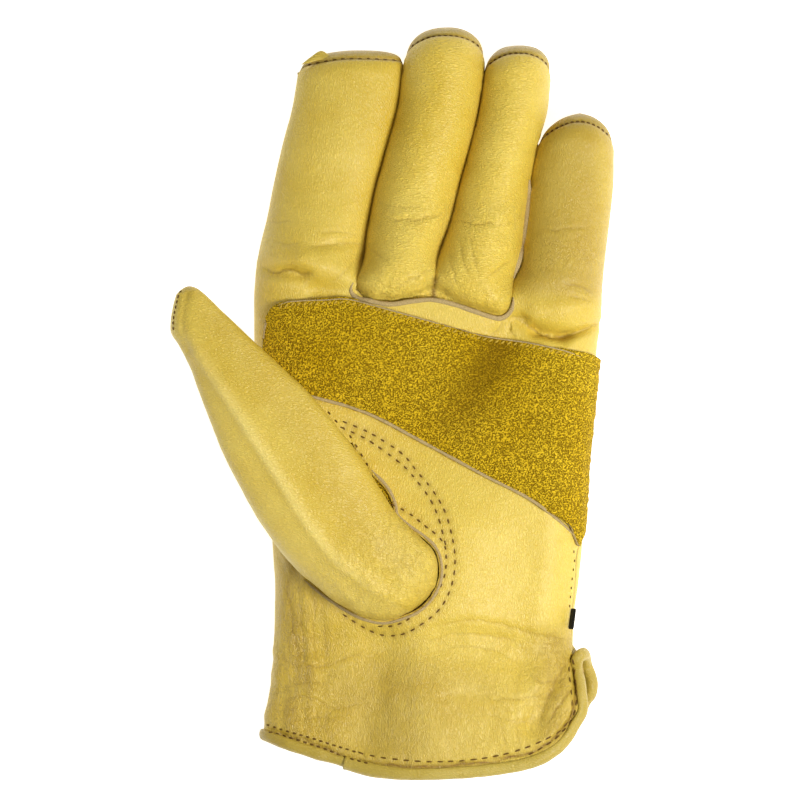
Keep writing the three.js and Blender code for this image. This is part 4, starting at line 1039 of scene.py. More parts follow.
THUMB_EDGE_ROW = ((-21.5, -3.4), (-19.7, -5.6), (-15.2, -10.1), (-11.5, -15.9), (-8.6, -20.8))
THUMB_TIP_ROW = ((-71.6, 37.6), (-72.4, 35.8), (-72.9, 33.6), (-73.5, 31), (-74, 28), (-74, 25.2))
THUMB_TIP_VALLEY = ((-69.2, 37), (-70.4, 33), (-71.2, 28.4), (-70.8, 23.6), (-68.6, 18))
THUMB_RIDGE = tuple(
    (mix(left_x, right_x, ridge), mix(left_y, right_y, ridge))
    for left_x, left_y, right_x, right_y, _, _, ridge in THUMB[1][13:2:-1]
)
FOLD_LINE = (
    (-41.4, -111.7), (-31, -114.5), (-16.2, -119.8), (-8.9, -121.7), (-0.7, -122.8), (10, -123.1),
    (30.4, -121.9), (46.7, -118.5), (53.2, -114.8), (57.9, -110.8), (61.3, -106.1), (62.2, -100.8),
    (61.9, -94.2), (61.2, -87),
)
FOLD_ROW = ((-41.4, -111.9), (-38, -112.7), (-31, -114.8), (-23, -117.4), (-16.8, -119.9), (-9, -122))
FOLD_ROW_RIGHT = (
    (47, -118.9), (53.4, -115.2), (58.2, -111), (61.4, -106.2), (62.5, -100.8), (62.2, -94.2), (61.4, -88),
)
SIDE_ROW = ((61.6, -50.5), (61.8, -54), (61.2, -58), (60.8, -62), (60.4, -66), (60.2, -69))
BASE_EDGE = ((-12.9, 40.6), (-13.7, 38.2), (-12, 36.2)) + BASE_SEAM[1][1:] + ((40.4, 35.8),)
SLOT_EDGE = ((41.2, 42.5), (42.1, 45.6), (43.4, 49.9), (44.6, 55.1), (45.4, 60.7), (46.1, 67.2), (46.6, 75.8))
PATCH_UPPER = tuple((x, float(PATCH_TOP(x)) - 1.1) for x in np.linspace(-38, 60, 30))
PATCH_RIM = tuple((x, float(PATCH_TOP(x))) for x in np.linspace(-39, 64, 34))
PATCH_LOWER = tuple((x, float(PATCH_BOTTOM(x))) for x in np.linspace(-30, 62, 30))

# Fine creases: each is a groove along a path with a low swell beside it, faded out at both ends.
CREASES = (
    ("palm", 1.4, 0.85, ((-44.5, 45.5), (-36, 44.4), (-27, 44))),
    ("palm", 0.8, 0.27, ((-29, 52.7), (-22, 53.4), (-10.4, 54))),
    ("palm", 0.9, 0.18, ((-42, 62), (-34, 61))),
    ("palm", 0.6, 0.50, FOLD_LINE),
    (
        "palm", 1.1, 1.00,
        ((40.6, 29.6), (44.7, 26.5), (49.5, 24.1), (54.6, 23.1), (60.7, 23.5), (66.5, 25.5), (69.9, 26.5)),
    ),
    ("palm", 0.8, 0.24, ((58.6, 41.4), (63.4, 39.4), (68.5, 37))),
    ("palm", 0.7, 0.27, ((38, 28.6), (36.6, 25.6), (33.6, 22.8))),
    ("palm", 0.7, 0.27, ((40.6, 28.6), (40, 25), (41, 21.8))),
    ("palm", 0.7, 0.18, ((-26, 57.6), (-18, 58), (-12, 56.8))),
    ("palm", 0.7, 0.15, ((-43, 54.6), (-37, 53.6), (-31, 54.2))),
    ("palm", 0.7, 0.18, ((-20.6, 41), (-16.8, 43.8), (-13.6, 47.8))),
    ("palm", 0.7, 0.18, ((-38, -97), (-30, -94.6), (-22, -96))),
    ("palm", 0.6, 0.15, ((48, -113), (47, -108), (48.4, -103))),
    ("palm", 0.6, 0.15, ((44, -115), (42.6, -110), (43.4, -106))),
    ("palm", 0.6, 0.12, ((38.6, -116.6), (37, -112), (37.6, -108.6))),
    ("palm", 0.8, 0.21, ((60, 36.6), (64.8, 35.8), (69, 34.2))),
    ("palm", 0.7, 0.15, ((50.3, 59.8), (58, 58.6), (66, 59.4))),
    ("palm", 1.2, 0.33, ((60, -87.4), (54, -97), (50.1, -108.5))),
    ("palm", 1, 0.27, ((62, -96), (57, -102), (53, -109))),
    ("palm", 0.8, 0.21, ((33, -106), (43, -108), (52, -106.4))),
    ("palm", 0.8, 0.18, ((30, -99), (42, -101), (53, -98))),
    ("palm", 0.7, 0.18, ((46, -92), (54, -95), (59, -93))),
    ("palm", 0.9, 0.21, ((12.8, -76.8), (20, -74), (30, -73.6), (40, -76.4), (52, -79.6), (60, -80.4))),
    ("palm", 0.8, 0.18, ((12.8, -80.4), (22, -78.2), (33, -79), (46, -83.4))),
    ("palm", 0.8, 0.15, ((16, -84), (26, -82.4), (36, -84.8), (42, -88))),
    ("palm", 0.8, 0.24, ((-36.8, -56), (-34.4, -68), (-33, -82), (-32, -93))),
    ("palm", 0.8, 0.24, ((-32.4, -62), (-30.4, -74), (-30.6, -86), (-28, -97))),
    ("palm", 0.7, 0.21, ((-28.4, -62), (-26.2, -72), (-26.6, -82), (-24.6, -90))),
    ("palm", 0.7, 0.18, ((-24, -66.6), (-22.6, -76), (-22.8, -86))),
    ("palm", 0.8, 0.21, ((-38.6, -86), (-30, -89.4), (-20, -88), (-10, -84.4))),
    ("palm", 0.7, 0.15, ((-40, -102), (-30, -100), (-21, -104), (-12, -102.6))),
    ("palm", 0.7, 0.12, ((-34, -108), (-24, -107), (-15, -109))),
    ("middle", 0.8, 0.38, ((-2.4, 62.6), (6, 61.8), (11, 62.8), (17.6, 63.8))),
    ("middle", 0.7, 0.22, ((-4.6, 67.4), (2, 66), (9, 66.8))),
    ("middle", 0.8, 0.26, ((-8.8, 52), (-4, 49.8), (-1, 46.6))),
    ("middle", 0.7, 0.22, ((2, 40.4), (8, 42.6), (12.6, 45.6))),
    ("middle", 0.7, 0.19, ((-6, 42), (-1, 39.6), (5, 38.4))),
    ("ring", 0.8, 0.34, ((20.6, 61.6), (27, 61), (33, 61.4), (37.6, 60.4))),
    ("ring", 0.8, 0.26, ((22.6, 55), (23.6, 48), (25.6, 41.6))),
    ("ring", 0.8, 0.26, ((26.6, 56), (27.6, 48), (29.6, 41))),
    ("ring", 0.7, 0.19, ((18.6, 50), (20, 44), (22.4, 39.6))),
    ("ring", 0.8, 0.26, ((31.6, 42.4), (36, 45.6), (40.4, 48.6))),
)


def crease_relief(x, y, family):
    """Height of the creases of one family, the signed distance to the nearest one, and its strength."""
    height = np.zeros(np.broadcast(x, y).shape)
    line = np.full(height.shape, 9.0)
    strength = np.zeros_like(height)
    wander = 0.7 * noise(x, y, 5.0, 3) + 0.35 * noise(x, y, 2.2, 4)
    for name, width, depth, points in CREASES:
        if name != family:
            continue
        away, share, side = path_distance(x + wander, y + wander, smooth_path(points, 2.0))
        fade = np.sin(math.pi * np.clip(share * 0.92 + 0.04, 0, 1)) ** 0.6
        groove = np.exp(-((away / width) ** 2))
        swell = np.exp(-(((away - 2.1 * width) / (1.3 * width)) ** 2))
        height += depth * fade * (0.45 * swell - groove)
        nearer = away < np.abs(line)
        line = np.where(nearer, away * side, line)
        here = fade * min(1.0, 0.1 + 1.1 * depth) * (1 - ease(away / 2.8))
        strength = np.where(nearer, here, strength)
    return height, line, strength


def stitch_relief(x, y, path, pitch):
    """The groove that a row of stitches pulls into the leather, deeper at each stitch, with painted shade
    along it.
    """
    even = smooth_path(path, 1.0)
    length = np.linalg.norm(np.diff(even, axis=0), axis=1).sum()
    away, share, _ = path_distance(x, y, even)
    beat = 0.6 + 0.4 * np.cos(2 * math.pi * share * round(length / pitch))
    inside = np.where((share > 0.001) & (share < 0.999), 1, 0)
    groove = np.exp(-(away**2)) * inside
    return -0.35 * groove * beat, 0.5 * groove * beat


def tip_groove(x, y):
    """The valley along each finger's tip seam: a bell curve across the seam line."""
    depth = np.zeros(np.broadcast(x, y).shape)
    for finger in FINGERS:
        share, away = past_tip_seam(finger, x, y)
        here = (np.abs(share) < 1.02) & (np.abs(away) < 6)
        depth = np.where(here, np.maximum(depth, np.exp(-((away / 0.8) ** 2))), depth)
    return depth


def tip_row(finger):
    """The stitch row just below a finger's tip seam, seen from above."""
    share = np.linspace(-0.8, 0.8, 24)
    y = fingertip(finger, share) - tip_seam(share) - 0.6
    left, right = span(finger, y)
    return np.column_stack([mix(left, right, (share + 1) / 2), y])


def palm_valley(x, y):
    """The broad valley that runs down the palm from the ring finger towards the thumb."""
    away, share, _ = path_distance(x, y, ((40.0, 26.0), (31.0, 10.0), (18.0, -12.0)))
    return 1.5 * np.exp(-((away / 7.0) ** 2)) * (1 - 0.6 * share) * ease((y + 18) / 14)


def under_patch(x, y):
    """1 well inside the suede patch, 0 outside it."""
    return ease((PATCH_TOP(x) - y) / 3) * ease((y - PATCH_BOTTOM(x)) / 3) * ease((x + 42) / 3)


def palm_relief(x, y):
    """Relief of the palm leather: creases, rumpled zones at the cuff, and grooves under its stitch rows.

    The marks give painted shade (in the grooves, on the gathers under the thumb, across the cuff and on the
    little finger), where creases run and how strongly, and where the leather is rumpled.
    """
    height, line, strength = crease_relief(x, y, "palm")
    groove = tip_groove(x, y)
    height = height - 0.7 * groove - palm_valley(x, y) - 0.9 * under_patch(x, y)
    # Painted shade in the tip seam's groove; the stitch grooves below add theirs.
    dark = 0.6 * groove
    rumple = 0.30 * noise(x, y, 9.0, 11) + 0.14 * noise(x, y, 4.2, 12) + 0.06 * noise(x, y, 2.0, 13)
    left = np.exp(-(((x + 33) / 10) ** 2)) * ease((-50 - y) / 12)
    cuff = ease((-72 - y) / 10)
    height = height + rumple * (0.35 + 0.7 * cuff + 0.4 * left)
    upright = noise(x * 3.2, y * 0.45, 6.0, 14) * left
    slant = noise(x * 0.8 + y * 0.5, (y - x * 0.15) * 2.6, 7.0, 15) * cuff
    height = height + 0.42 * upright + 0.18 * slant
    for path, pitch in ((ROW_A, 3.6), (ROW_B, 3.6), (ROW_C, 3.3), (CUFF_ROW_LEFT, 2.4), (CUFF_ROW, 3.8)):
        more, tone = stitch_relief(x, y, path, pitch)
        height = height + more
        dark = np.maximum(dark, tone)
    # Painted shade along the cuff's fold line.
    away, _, side = path_distance(x, y, FOLD_LINE)
    height = height - 0.5 * np.exp(-((away / 0.9) ** 2))
    height = height + 0.25 * np.exp(-(((away * side - 1.7) / 0.8) ** 2))
    dark = np.maximum(dark, 0.6 * np.exp(-((away / 0.6) ** 2)))
    # Gathers under the thumb's edge, with painted shade on them.
    tucked = np.exp(-(((x + 34) / 4.5) ** 2) - ((y + 54) / 8) ** 2)
    height = height + 0.5 * noise(x * 1.8 + y * 0.5, y * 0.5, 3.0, 16) * tucked
    dark = np.maximum(dark, 0.42 * tucked)
    corner = np.exp(-(((x - 56) / 9) ** 2)) * cuff
    # Painted shade across the cuff's middle, at its right corner, on the little finger and on the cuff's
    # thumb side.
    dark = np.maximum(dark, 0.3 * np.exp(-((x / 42) ** 2)) * ease((-76 - y) / 22))
    dark = np.maximum(dark, 0.36 * corner)
    little = ease((x - EDGE["slot3"](y)) / 3) * ease((y - 32) / 8)
    dark = np.maximum(dark, 0.36 * little * (1 - 0.5 * ease((x - 66) / 8)))
    dark = np.maximum(dark, left * (0.26 + 0.2 * upright))
    bases = np.exp(-(((y - 50) / 14) ** 2)) * np.where(x < 0, 0.25, 0.5)
    wrinkled = np.clip(0.06 + 0.9 * left + 0.45 * cuff + 0.5 * corner + bases + tucked, 0, 1)
    return height, {"fold": dark, "crease": line, "depth": strength, "rumple": wrinkled}


def finger_relief(family):
    """Relief of a separate finger front, with painted shade in its tip groove and its base crevice."""

    def relief(x, y):
        height, line, strength = crease_relief(x, y, family)
        groove = tip_groove(x, y)
        rumple = 0.22 * noise(x, y, 8.0, 21) + 0.08 * noise(x, y, 3.4, 22)
        near_base = ease((FINGER_BASE(x) + 14 - y) / 10)
        pleats = 0.30 * noise(x * 2.6, y * 0.7, 5.0, 23) * near_base
        wrinkled = np.clip(0.08 + 0.55 * near_base + 0.4 * np.exp(-(((y - 62) / 8) ** 2)), 0, 1)
        # A painted shadow line in the crevice between the middle and ring fingers' bases.
        crevice = np.exp(-(((x - EDGE["slot2"](y)) / 1.1) ** 2)) * ease((44 - y) / 2)
        dark = np.maximum(0.6 * groove, 0.8 * crevice)
        marks = {"fold": dark, "crease": line, "depth": strength, "rumple": wrinkled}
        return height - 0.7 * groove + rumple + pleats, marks

    return relief


def thumb_relief(x, y):
    """Relief of the thumb: soft swells, a valley beside its tip seam, gathers at its lower end, and painted
    light and shade.
    """
    along = (x + 35) * 0.62 - (y + 15) * 0.78
    across = (x + 35) * 0.78 + (y + 15) * 0.62
    rumple = 0.22 * noise(x, y, 9.0, 31) + 0.07 * noise(x, y, 3.6, 32)
    lower = ease((along - 26) / 20)
    gathers = 0.24 * noise(along * 0.6, across * 2.2, 5.0, 33) * lower
    away, _, _ = path_distance(x, y, THUMB_TIP_VALLEY)
    valley = 0.6 * np.exp(-((away / 1.6) ** 2))
    wrinkled = np.clip(0.05 + 0.75 * lower, 0, 1)
    away, share, side = path_distance(x, y, THUMB_RIDGE)
    line = np.exp(-((away / np.where(side > 0, 3.0, 1.0)) ** 2))
    line = line * np.sin(math.pi * np.clip(share, 0, 1)) ** 0.5
    height = rumple + gathers - valley + 0.15 * line
    # A pale mark along the ridge and on the face left of it: part wear, part painted highlight.
    worn = 0.5 * line + np.where(side < 0, 0.16 * (1 - np.exp(-away / 2)), 0)
    # Painted shade in the tip seam's valley and towards the thumb's right side.
    dark = 0.25 * valley + np.where(side > 0, 0.13 * ease((away - 4) / 10), 0)
    return height, {"fold": dark, "rumple": wrinkled, "worn": worn}


def back_relief(x, y):
    """Relief of the back of the hand: broad swells, a few rumples towards the cuff, and painted shade in the
    tip seam's groove and on the band past it.
    """
    rumple = 0.28 * noise(x, y, 11.0, 41) + 0.10 * noise(x, y, 4.4, 42)
    groove = tip_groove(x, y)
    beyond = np.zeros(np.broadcast(x, y).shape)
    for finger in FINGERS:
        share, past = past_tip_seam(finger, x, y)
        beyond = np.where((np.abs(share) < 1.02) & (past > 0), ease(past / 1.2), beyond)
    wrinkled = 0.10 + 0.4 * ease((-60 - y) / 20)
    marks = {"fold": np.maximum(0.6 * groove, 0.42 * beyond), "rumple": wrinkled}
    return rumple * (0.6 + 0.6 * ease((-60 - y) / 20)) - 0.5 * groove, marks


def patch_relief(x, y):
    """Nap of the suede: coarse nubs, and a valley that runs down from the ring finger towards the thumb, with
    painted shade along it.
    """
    nubs = 0.20 * noise(x, y, 1.5, 51) + 0.13 * noise(x, y, 0.9, 52)
    swell = 0.30 * noise(x, y, 14.0, 53)
    valley = palm_valley(x, y)
    return 1.45 + nubs + swell - valley, {"fold": np.clip(0.6 * valley, 0, 0.8)}


# Meshes.
def mesh_object(name, grids, merge=0.01):
    """One smooth mesh from grids of points in millimetres, welded where they meet."""
    points = []
    faces = []
    count = 0
    for part in grids:
        rows, columns = part.shape[:2]
        index = count + np.arange(rows * columns).reshape(rows, columns)
        corners = [index[:-1, :-1], index[:-1, 1:], index[1:, 1:], index[1:, :-1]]
        faces.append(np.stack(corners, axis=-1).reshape(-1, 4))
        points.append(part.reshape(-1, 3))
        count += rows * columns
    mesh = bpy.data.meshes.new(name)
    place = (np.concatenate(points) + np.array([0.0, SHIFT_Y, 0.0])) * MM
    mesh.from_pydata(place.tolist(), [], np.concatenate(faces).tolist())
    weld = bmesh.new()
    weld.from_mesh(mesh)
    bmesh.ops.remove_doubles(weld, verts=weld.verts, dist=merge * MM)
    bmesh.ops.dissolve_degenerate(weld, edges=weld.edges, dist=1e-7)
    weld.to_mesh(mesh)
    weld.free()
    mesh.validate()
    mesh.shade_smooth()
    obj = bpy.data.objects.new(name, mesh)
    bpy.context.scene.collection.objects.link(obj)
    return obj


def vertex_array(mesh, source="vertices", field="co"):
    """A mesh's vertex places or normals as one array."""
    values = np.empty(len(mesh.vertices) * 3)
    getattr(mesh, source).foreach_get(field, values)
    return values.reshape(-1, 3)


def emboss(obj, relief, amount=1.0):
    """Moves each vertex along its normal by relief(x, y), and keeps the relief's marks as attributes."""
    mesh = obj.data
    place = vertex_array(mesh)
    normal = vertex_array(mesh, "vertex_normals", "vector")
    x, y = place[:, 0] / MM, place[:, 1] / MM - SHIFT_Y
    height, marks = relief(x, y)
    place += normal * (height * amount * clear_of_corners(x, y) * MM)[:, None]
    mesh.vertices.foreach_set("co", place.ravel())
    for name, values in marks.items():
        mark = mesh.attributes.new(name, "FLOAT", "POINT")
        mark.data.foreach_set("value", np.broadcast_to(values, height.shape).astype(np.float32))
    mesh.update()


def cut_away(obj, inside):
    """Removes the faces whose centre is inside: a test on the centres in millimetres."""
    mesh = obj.data
    edit = bmesh.new()
    edit.from_mesh(mesh)
    centres = np.array([face.calc_center_median()[:] for face in edit.faces]) / MM
    centres[:, 1] -= SHIFT_Y
    gone = inside(centres)
    faces = [face for face, drop in zip(list(edit.faces), gone) if drop]
    bmesh.ops.delete(edit, geom=faces, context="FACES")
    edit.to_mesh(mesh)
    edit.free()


def snap_rim(obj, path, reach):
    """Moves the open edge's vertices that lie near a path onto it, seen from above."""
    edit = bmesh.new()
    edit.from_mesh(obj.data)
    rim = [vert for vert in edit.verts if vert.is_boundary]
    place = np.array([vert.co[:] for vert in rim]) / MM
    place[:, 1] -= SHIFT_Y
    even = smooth_path(path, 0.2)
    gap = np.linalg.norm(place[:, None, :2] - even[None], axis=-1)
    nearest = even[gap.argmin(axis=1)]
    for vert, spot, away in zip(rim, nearest, gap.min(axis=1)):
        if away < reach:
            vert.co.x = spot[0] * MM
            vert.co.y = (spot[1] + SHIFT_Y) * MM
    edit.to_mesh(obj.data)
    edit.free()


def thicken(obj, thickness, materials):
    """Gives a sheet its thickness inwards, with the cut edge in the second material."""
    for material in materials:
        obj.data.materials.append(material)
    wall = obj.modifiers.new("leather thickness", "SOLIDIFY")
    wall.thickness = thickness
    wall.offset = -1.0
    wall.use_even_offset = False
    wall.material_offset = 1
    wall.material_offset_rim = 1
    place = vertex_array(obj.data) / MM
    share = clear_of_corners(place[:, 0], place[:, 1] - SHIFT_Y)
    group = obj.vertex_groups.new(name="full thickness")
    group.add(list(range(len(share))), 1.0, "REPLACE")
    for index in np.flatnonzero(share < 1):
        group.add([int(index)], float(share[index]), "REPLACE")
    wall.vertex_group = group.name


def finish_piece(obj, slot, *nodes):
    """Rides on the glove's one body and stands for its CAD nodes, which it hides. The slot is not used."""
    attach(obj, "root")
    if nodes:
        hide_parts(*nodes)


def inside_path(x, y, path):
    """True where a point lies inside a closed path, by counting the edges to one side of it."""
    path = np.asarray(path, dtype=float)
    inside = np.zeros(np.broadcast(x, y).shape, dtype=bool)
    for (x0, y0), (x1, y1) in zip(path, np.roll(path, -1, axis=0)):
        crosses = (y0 > y) != (y1 > y)
        reach = x0 + (y - y0) * (x1 - x0) / np.where(y1 == y0, 1e-9, y1 - y0)
        inside ^= crosses & (x < reach)
    return inside


def thumb_hole(points):
    """The opening in the palm under the thumb, closed on its outer side by a line below the thumb."""
    closed = np.concatenate([smooth_path(THUMB_EDGE[2:], 1.0), [(-20.0, -17.0), (-26.0, -36.0)]])
    return inside_path(points[:, 0], points[:, 1], closed) & (points[:, 2] > 12)


# Nodes and materials.
def node(tree, kind, inputs=None, **settings):
    """A new node with its settings and its inputs, each a constant or a socket that is linked."""
    made = tree.nodes.new(kind)
    for key, value in settings.items():
        setattr(made, key, value)
    for key, value in (inputs or {}).items():
        if isinstance(value, bpy.types.NodeSocket):
            tree.links.new(value, made.inputs[key])
        else:
            made.inputs[key].default_value = value
    return made


def math_node(tree, operation, *values, use_clamp=False):
    """The result of a math node on values that are numbers or sockets."""
    inputs = dict(enumerate(values))
    return node(tree, "ShaderNodeMath", inputs, operation=operation, use_clamp=use_clamp).outputs[0]


def map_range(tree, value, low=0.0, high=1.0, to_low=0.0, to_high=1.0, kind="LINEAR"):
    """A value moved from the range low to high to another range, and held inside it."""
    inputs = {"Value": value, "From Min": low, "From Max": high, "To Min": to_low, "To Max": to_high}
    return node(tree, "ShaderNodeMapRange", inputs, interpolation_type=kind).outputs[0]


def cloudy(tree, place, scale, detail, roughness=0.5, distortion=0.0):
    """The value of a noise texture at a place."""
    inputs = {"Vector": place, "Scale": scale, "Detail": detail}
    inputs.update({"Roughness": roughness, "Distortion": distortion})
    return node(tree, "ShaderNodeTexNoise", inputs).outputs["Fac"]


def from_half(tree, value):
    """How far a value lies from one half: 0 along the noise's middle, which runs in wandering lines."""
    return math_node(tree, "ABSOLUTE", math_node(tree, "SUBTRACT", value, 0.5))


def stretched(tree, place, factors):
    """Coordinates multiplied along each axis."""
    return node(tree, "ShaderNodeVectorMath", {0: place, 1: factors}, operation="MULTIPLY").outputs[0]


def new_group(name, values, outputs):
    """An empty shader node group that takes a vector and named values, and puts out named values."""
    tree = bpy.data.node_groups.new(name, "ShaderNodeTree")
    tree.interface.new_socket("Vector", in_out="INPUT", socket_type="NodeSocketVector")
    for label, value in values.items():
        socket = tree.interface.new_socket(label, in_out="INPUT", socket_type="NodeSocketFloat")
        socket.default_value = value
    for label in outputs:
        tree.interface.new_socket(label, in_out="OUTPUT", socket_type="NodeSocketFloat")
    return tree, tree.nodes.new("NodeGroupInput").outputs, tree.nodes.new("NodeGroupOutput").inputs


def linear(colour):
    """A colour as the picture shows it, turned to Blender's linear values."""
    return tuple(((c + 0.055) / 1.055) ** 2.4 if c > 0.04045 else c / 12.92 for c in colour[:3]) + (1.0,)


def grain_group():
    """Leather grain: wavy wrinkles across a direction, small pebbles and pores. Puts out height and tone."""
    tree, given, end = new_group("Leather grain", {"Turn": 0.0, "Pitch": 900.0}, ("Height", "Tone"))
    inputs = {"Vector": given["Vector"], "Angle": given["Turn"]}
    turned = node(tree, "ShaderNodeVectorRotate", inputs, rotation_type="Z_AXIS").outputs[0]
    drawn = stretched(tree, turned, (0.36, 1.0, 0.7))
    waves = cloudy(tree, drawn, given["Pitch"], 1.0, distortion=0.4)
    wrinkle = map_range(tree, from_half(tree, waves), 0.0, 0.2, kind="SMOOTHSTEP")
    cells = node(tree, "ShaderNodeTexVoronoi", {"Vector": drawn, "Scale": 2200.0}, feature="F1")
    fine = cloudy(tree, given["Vector"], 3200.0, 2.0)
    height = math_node(tree, "MULTIPLY", wrinkle, 0.6)
    height = math_node(tree, "MULTIPLY_ADD", cells.outputs["Distance"], -0.4, height)
    height = math_node(tree, "MULTIPLY_ADD", fine, 0.2, height)
    tree.links.new(height, end["Height"])
    tree.links.new(wrinkle, end["Tone"])
    return tree


def crease_group():
    """Thin lines: one that wanders along the marked creases, and a net of wrinkles on rumpled leather."""
    tree, given, end = new_group("Crease lines", {"Line": 9.0, "Depth": 0.0, "Rumple": 0.0}, ("Line", "Net"))
    wander = cloudy(tree, given["Vector"], 300.0, 3.0)
    shift = map_range(tree, wander, to_low=-0.8, to_high=0.8)
    off = math_node(tree, "ABSOLUTE", math_node(tree, "ADD", given["Line"], shift))
    groove = map_range(tree, off, 0.0, 0.8, 1.0, 0.0, "SMOOTHSTEP")
    tree.links.new(math_node(tree, "MULTIPLY", groove, given["Depth"]), end["Line"])
    drawn = stretched(tree, given["Vector"], (1.7, 0.7, 1.0))
    net = cloudy(tree, drawn, 300.0, 3.0, 0.62, 1.0)
    thin = map_range(tree, from_half(tree, net), 0.0, 0.05, 1.0, 0.0, "SMOOTHSTEP")
    tree.links.new(math_node(tree, "MULTIPLY", thin, given["Rumple"]), end["Net"])
    return tree


def dye_group():
    """Broad uneven colour: two sizes of soft noise, put out as one mask."""
    tree, given, end = new_group("Uneven dye", {"Pitch": 22.0}, ("Mask",))
    broad = cloudy(tree, given["Vector"], given["Pitch"], 3.0, 0.55)
    small = cloudy(tree, given["Vector"], 160.0, 4.0)
    both = math_node(tree, "MULTIPLY_ADD", small, 0.4, broad)
    tree.links.new(map_range(tree, both, 0.5, 0.9), end["Mask"])
    return tree


def blend_colours(tree, share, low, high, mode="MIX"):
    """Mixes two colours by a share, each a constant or a socket."""
    inputs = {0: share, 6: low, 7: high}
    return node(tree, "ShaderNodeMix", inputs, data_type="RGBA", blend_type=mode).outputs[2]


def start_material(name):
    """A material with an empty tree, its shader and Object coordinates."""
    material = bpy.data.materials.new(name)
    material.use_nodes = True
    tree = material.node_tree
    tree.nodes.clear()
    shader = node(tree, "ShaderNodeBsdfPrincipled")
    node(tree, "ShaderNodeOutputMaterial", {"Surface": shader.outputs[0]})
    return material, tree, shader, node(tree, "ShaderNodeTexCoord").outputs["Object"]


def roughen(tree, shader, strength, distance, height):
    """Gives a shader its bump, with the depth of the full height in metres."""
    bump = node(tree, "ShaderNodeBump", {"Strength": strength, "Distance": distance, "Height": height})
    tree.links.new(bump.outputs[0], shader.inputs["Normal"])


def leather_material(name, looks, groups, turn, pitch, strength, painted_light_factor):
    """Smooth grain leather: uneven dye, painted shade in creases and wrinkles and where the relief marks it,
    a pale mark that is part wear and part painted highlight, soft gloss broken by the grain.
    """
    material, tree, shader, place = start_material(name)
    inputs = {"Vector": place, "Turn": math.radians(turn), "Pitch": pitch}
    grain = node(tree, "ShaderNodeGroup", inputs, node_tree=groups["grain"]).outputs
    dye = node(tree, "ShaderNodeGroup", {"Vector": place}, node_tree=groups["dye"]).outputs["Mask"]
    marks = {
        key: node(tree, "ShaderNodeAttribute", attribute_name=key).outputs["Fac"]
        for key in ("fold", "crease", "depth", "rumple", "worn")
    }
    inputs = {"Vector": place, "Line": marks["crease"], "Depth": marks["depth"], "Rumple": marks["rumple"]}
    lines = node(tree, "ShaderNodeGroup", inputs, node_tree=groups["creases"]).outputs
    # The factor lightens or darkens the whole dye: a painted highlight on the finger fronts, painted shade on
    # the walls and the binding.
    light, shade = (
        tuple(part * painted_light_factor for part in linear(dyed)[:3]) + (1.0,)
        for dyed in (looks.leather, looks.leather_shade)
    )
    colour = blend_colours(tree, dye, shade, light)
    tone = map_range(tree, grain["Tone"], to_low=0.90, to_high=1.01)
    colour = blend_colours(tree, 1.0, colour, tone, "MULTIPLY")
    # Painted shade: the crease lines, the wrinkle net and the marked shade blend the colour towards the
    # crease colour.
    deep = math_node(tree, "MULTIPLY_ADD", lines["Line"], 0.6, marks["fold"])
    deep = math_node(tree, "MULTIPLY_ADD", lines["Net"], 0.18, deep, use_clamp=True)
    colour = blend_colours(tree, deep, colour, linear(looks.crease))
    # The thumb's pale mark: part wear, part painted highlight.
    colour = blend_colours(tree, marks["worn"], colour, linear(looks.worn))
    tree.links.new(colour, shader.inputs["Base Color"])
    tree.links.new(map_range(tree, dye, to_low=0.38, to_high=0.47), shader.inputs["Roughness"])
    shader.inputs["Specular IOR Level"].default_value = 0.5
    shader.inputs["Subsurface Weight"].default_value = 0.06
    shader.inputs["Subsurface Radius"].default_value = (0.0012, 0.0008, 0.0003)
    shader.inputs["Coat Weight"].default_value = 0.08
    shader.inputs["Coat Roughness"].default_value = 0.32
    height = math_node(tree, "MULTIPLY_ADD", lines["Line"], -1.2, grain["Height"])
    height = math_node(tree, "MULTIPLY_ADD", lines["Net"], -0.9, height)
    roughen(tree, shader, strength, 0.0005, height)
    return material


def suede_material(name, looks, groups):
    """Suede: matt nap in light nubs with dark pits between them, and a rough bump. The pits' colour is partly
    painted shade, and it paints the shade along the marked valley.
    """
    material, tree, shader, place = start_material(name)
    inputs = {"Vector": place, "Pitch": 34.0}
    dye = node(tree, "ShaderNodeGroup", inputs, node_tree=groups["dye"]).outputs["Mask"]
    nub = map_range(tree, cloudy(tree, place, 1900.0, 2.0, 0.5, 0.2), 0.32, 0.60, kind="SMOOTHSTEP")
    colour = blend_colours(tree, dye, linear(looks.suede_shade), linear(looks.suede))
    colour = blend_colours(tree, nub, linear(looks.suede_pit_and_shade), colour)
    # Painted shade along the marked valley, in the pits' colour.
    fold = node(tree, "ShaderNodeAttribute", attribute_name="fold").outputs["Fac"]
    colour = blend_colours(tree, fold, colour, linear(looks.suede_pit_and_shade))
    tree.links.new(colour, shader.inputs["Base Color"])
    shader.inputs["Roughness"].default_value = 0.85
    shader.inputs["Specular IOR Level"].default_value = 0.1
    roughen(tree, shader, 1.0, 0.0006, nub)
    return material


def plain_material(name, light, dark, scale, roughness, bump_height):
    """A fibrous or matt finish: two tones broken by fine noise, with its own bump."""
    material, tree, shader, place = start_material(name)
    fibre = cloudy(tree, place, scale, 4.0, 0.7)
    colour = blend_colours(tree, map_range(tree, fibre, 0.3, 0.7), linear(dark), linear(light))
    tree.links.new(colour, shader.inputs["Base Color"])
    shader.inputs["Roughness"].default_value = roughness
    shader.inputs["Specular IOR Level"].default_value = 0.3
    roughen(tree, shader, 0.7, bump_height, fibre)
    return material


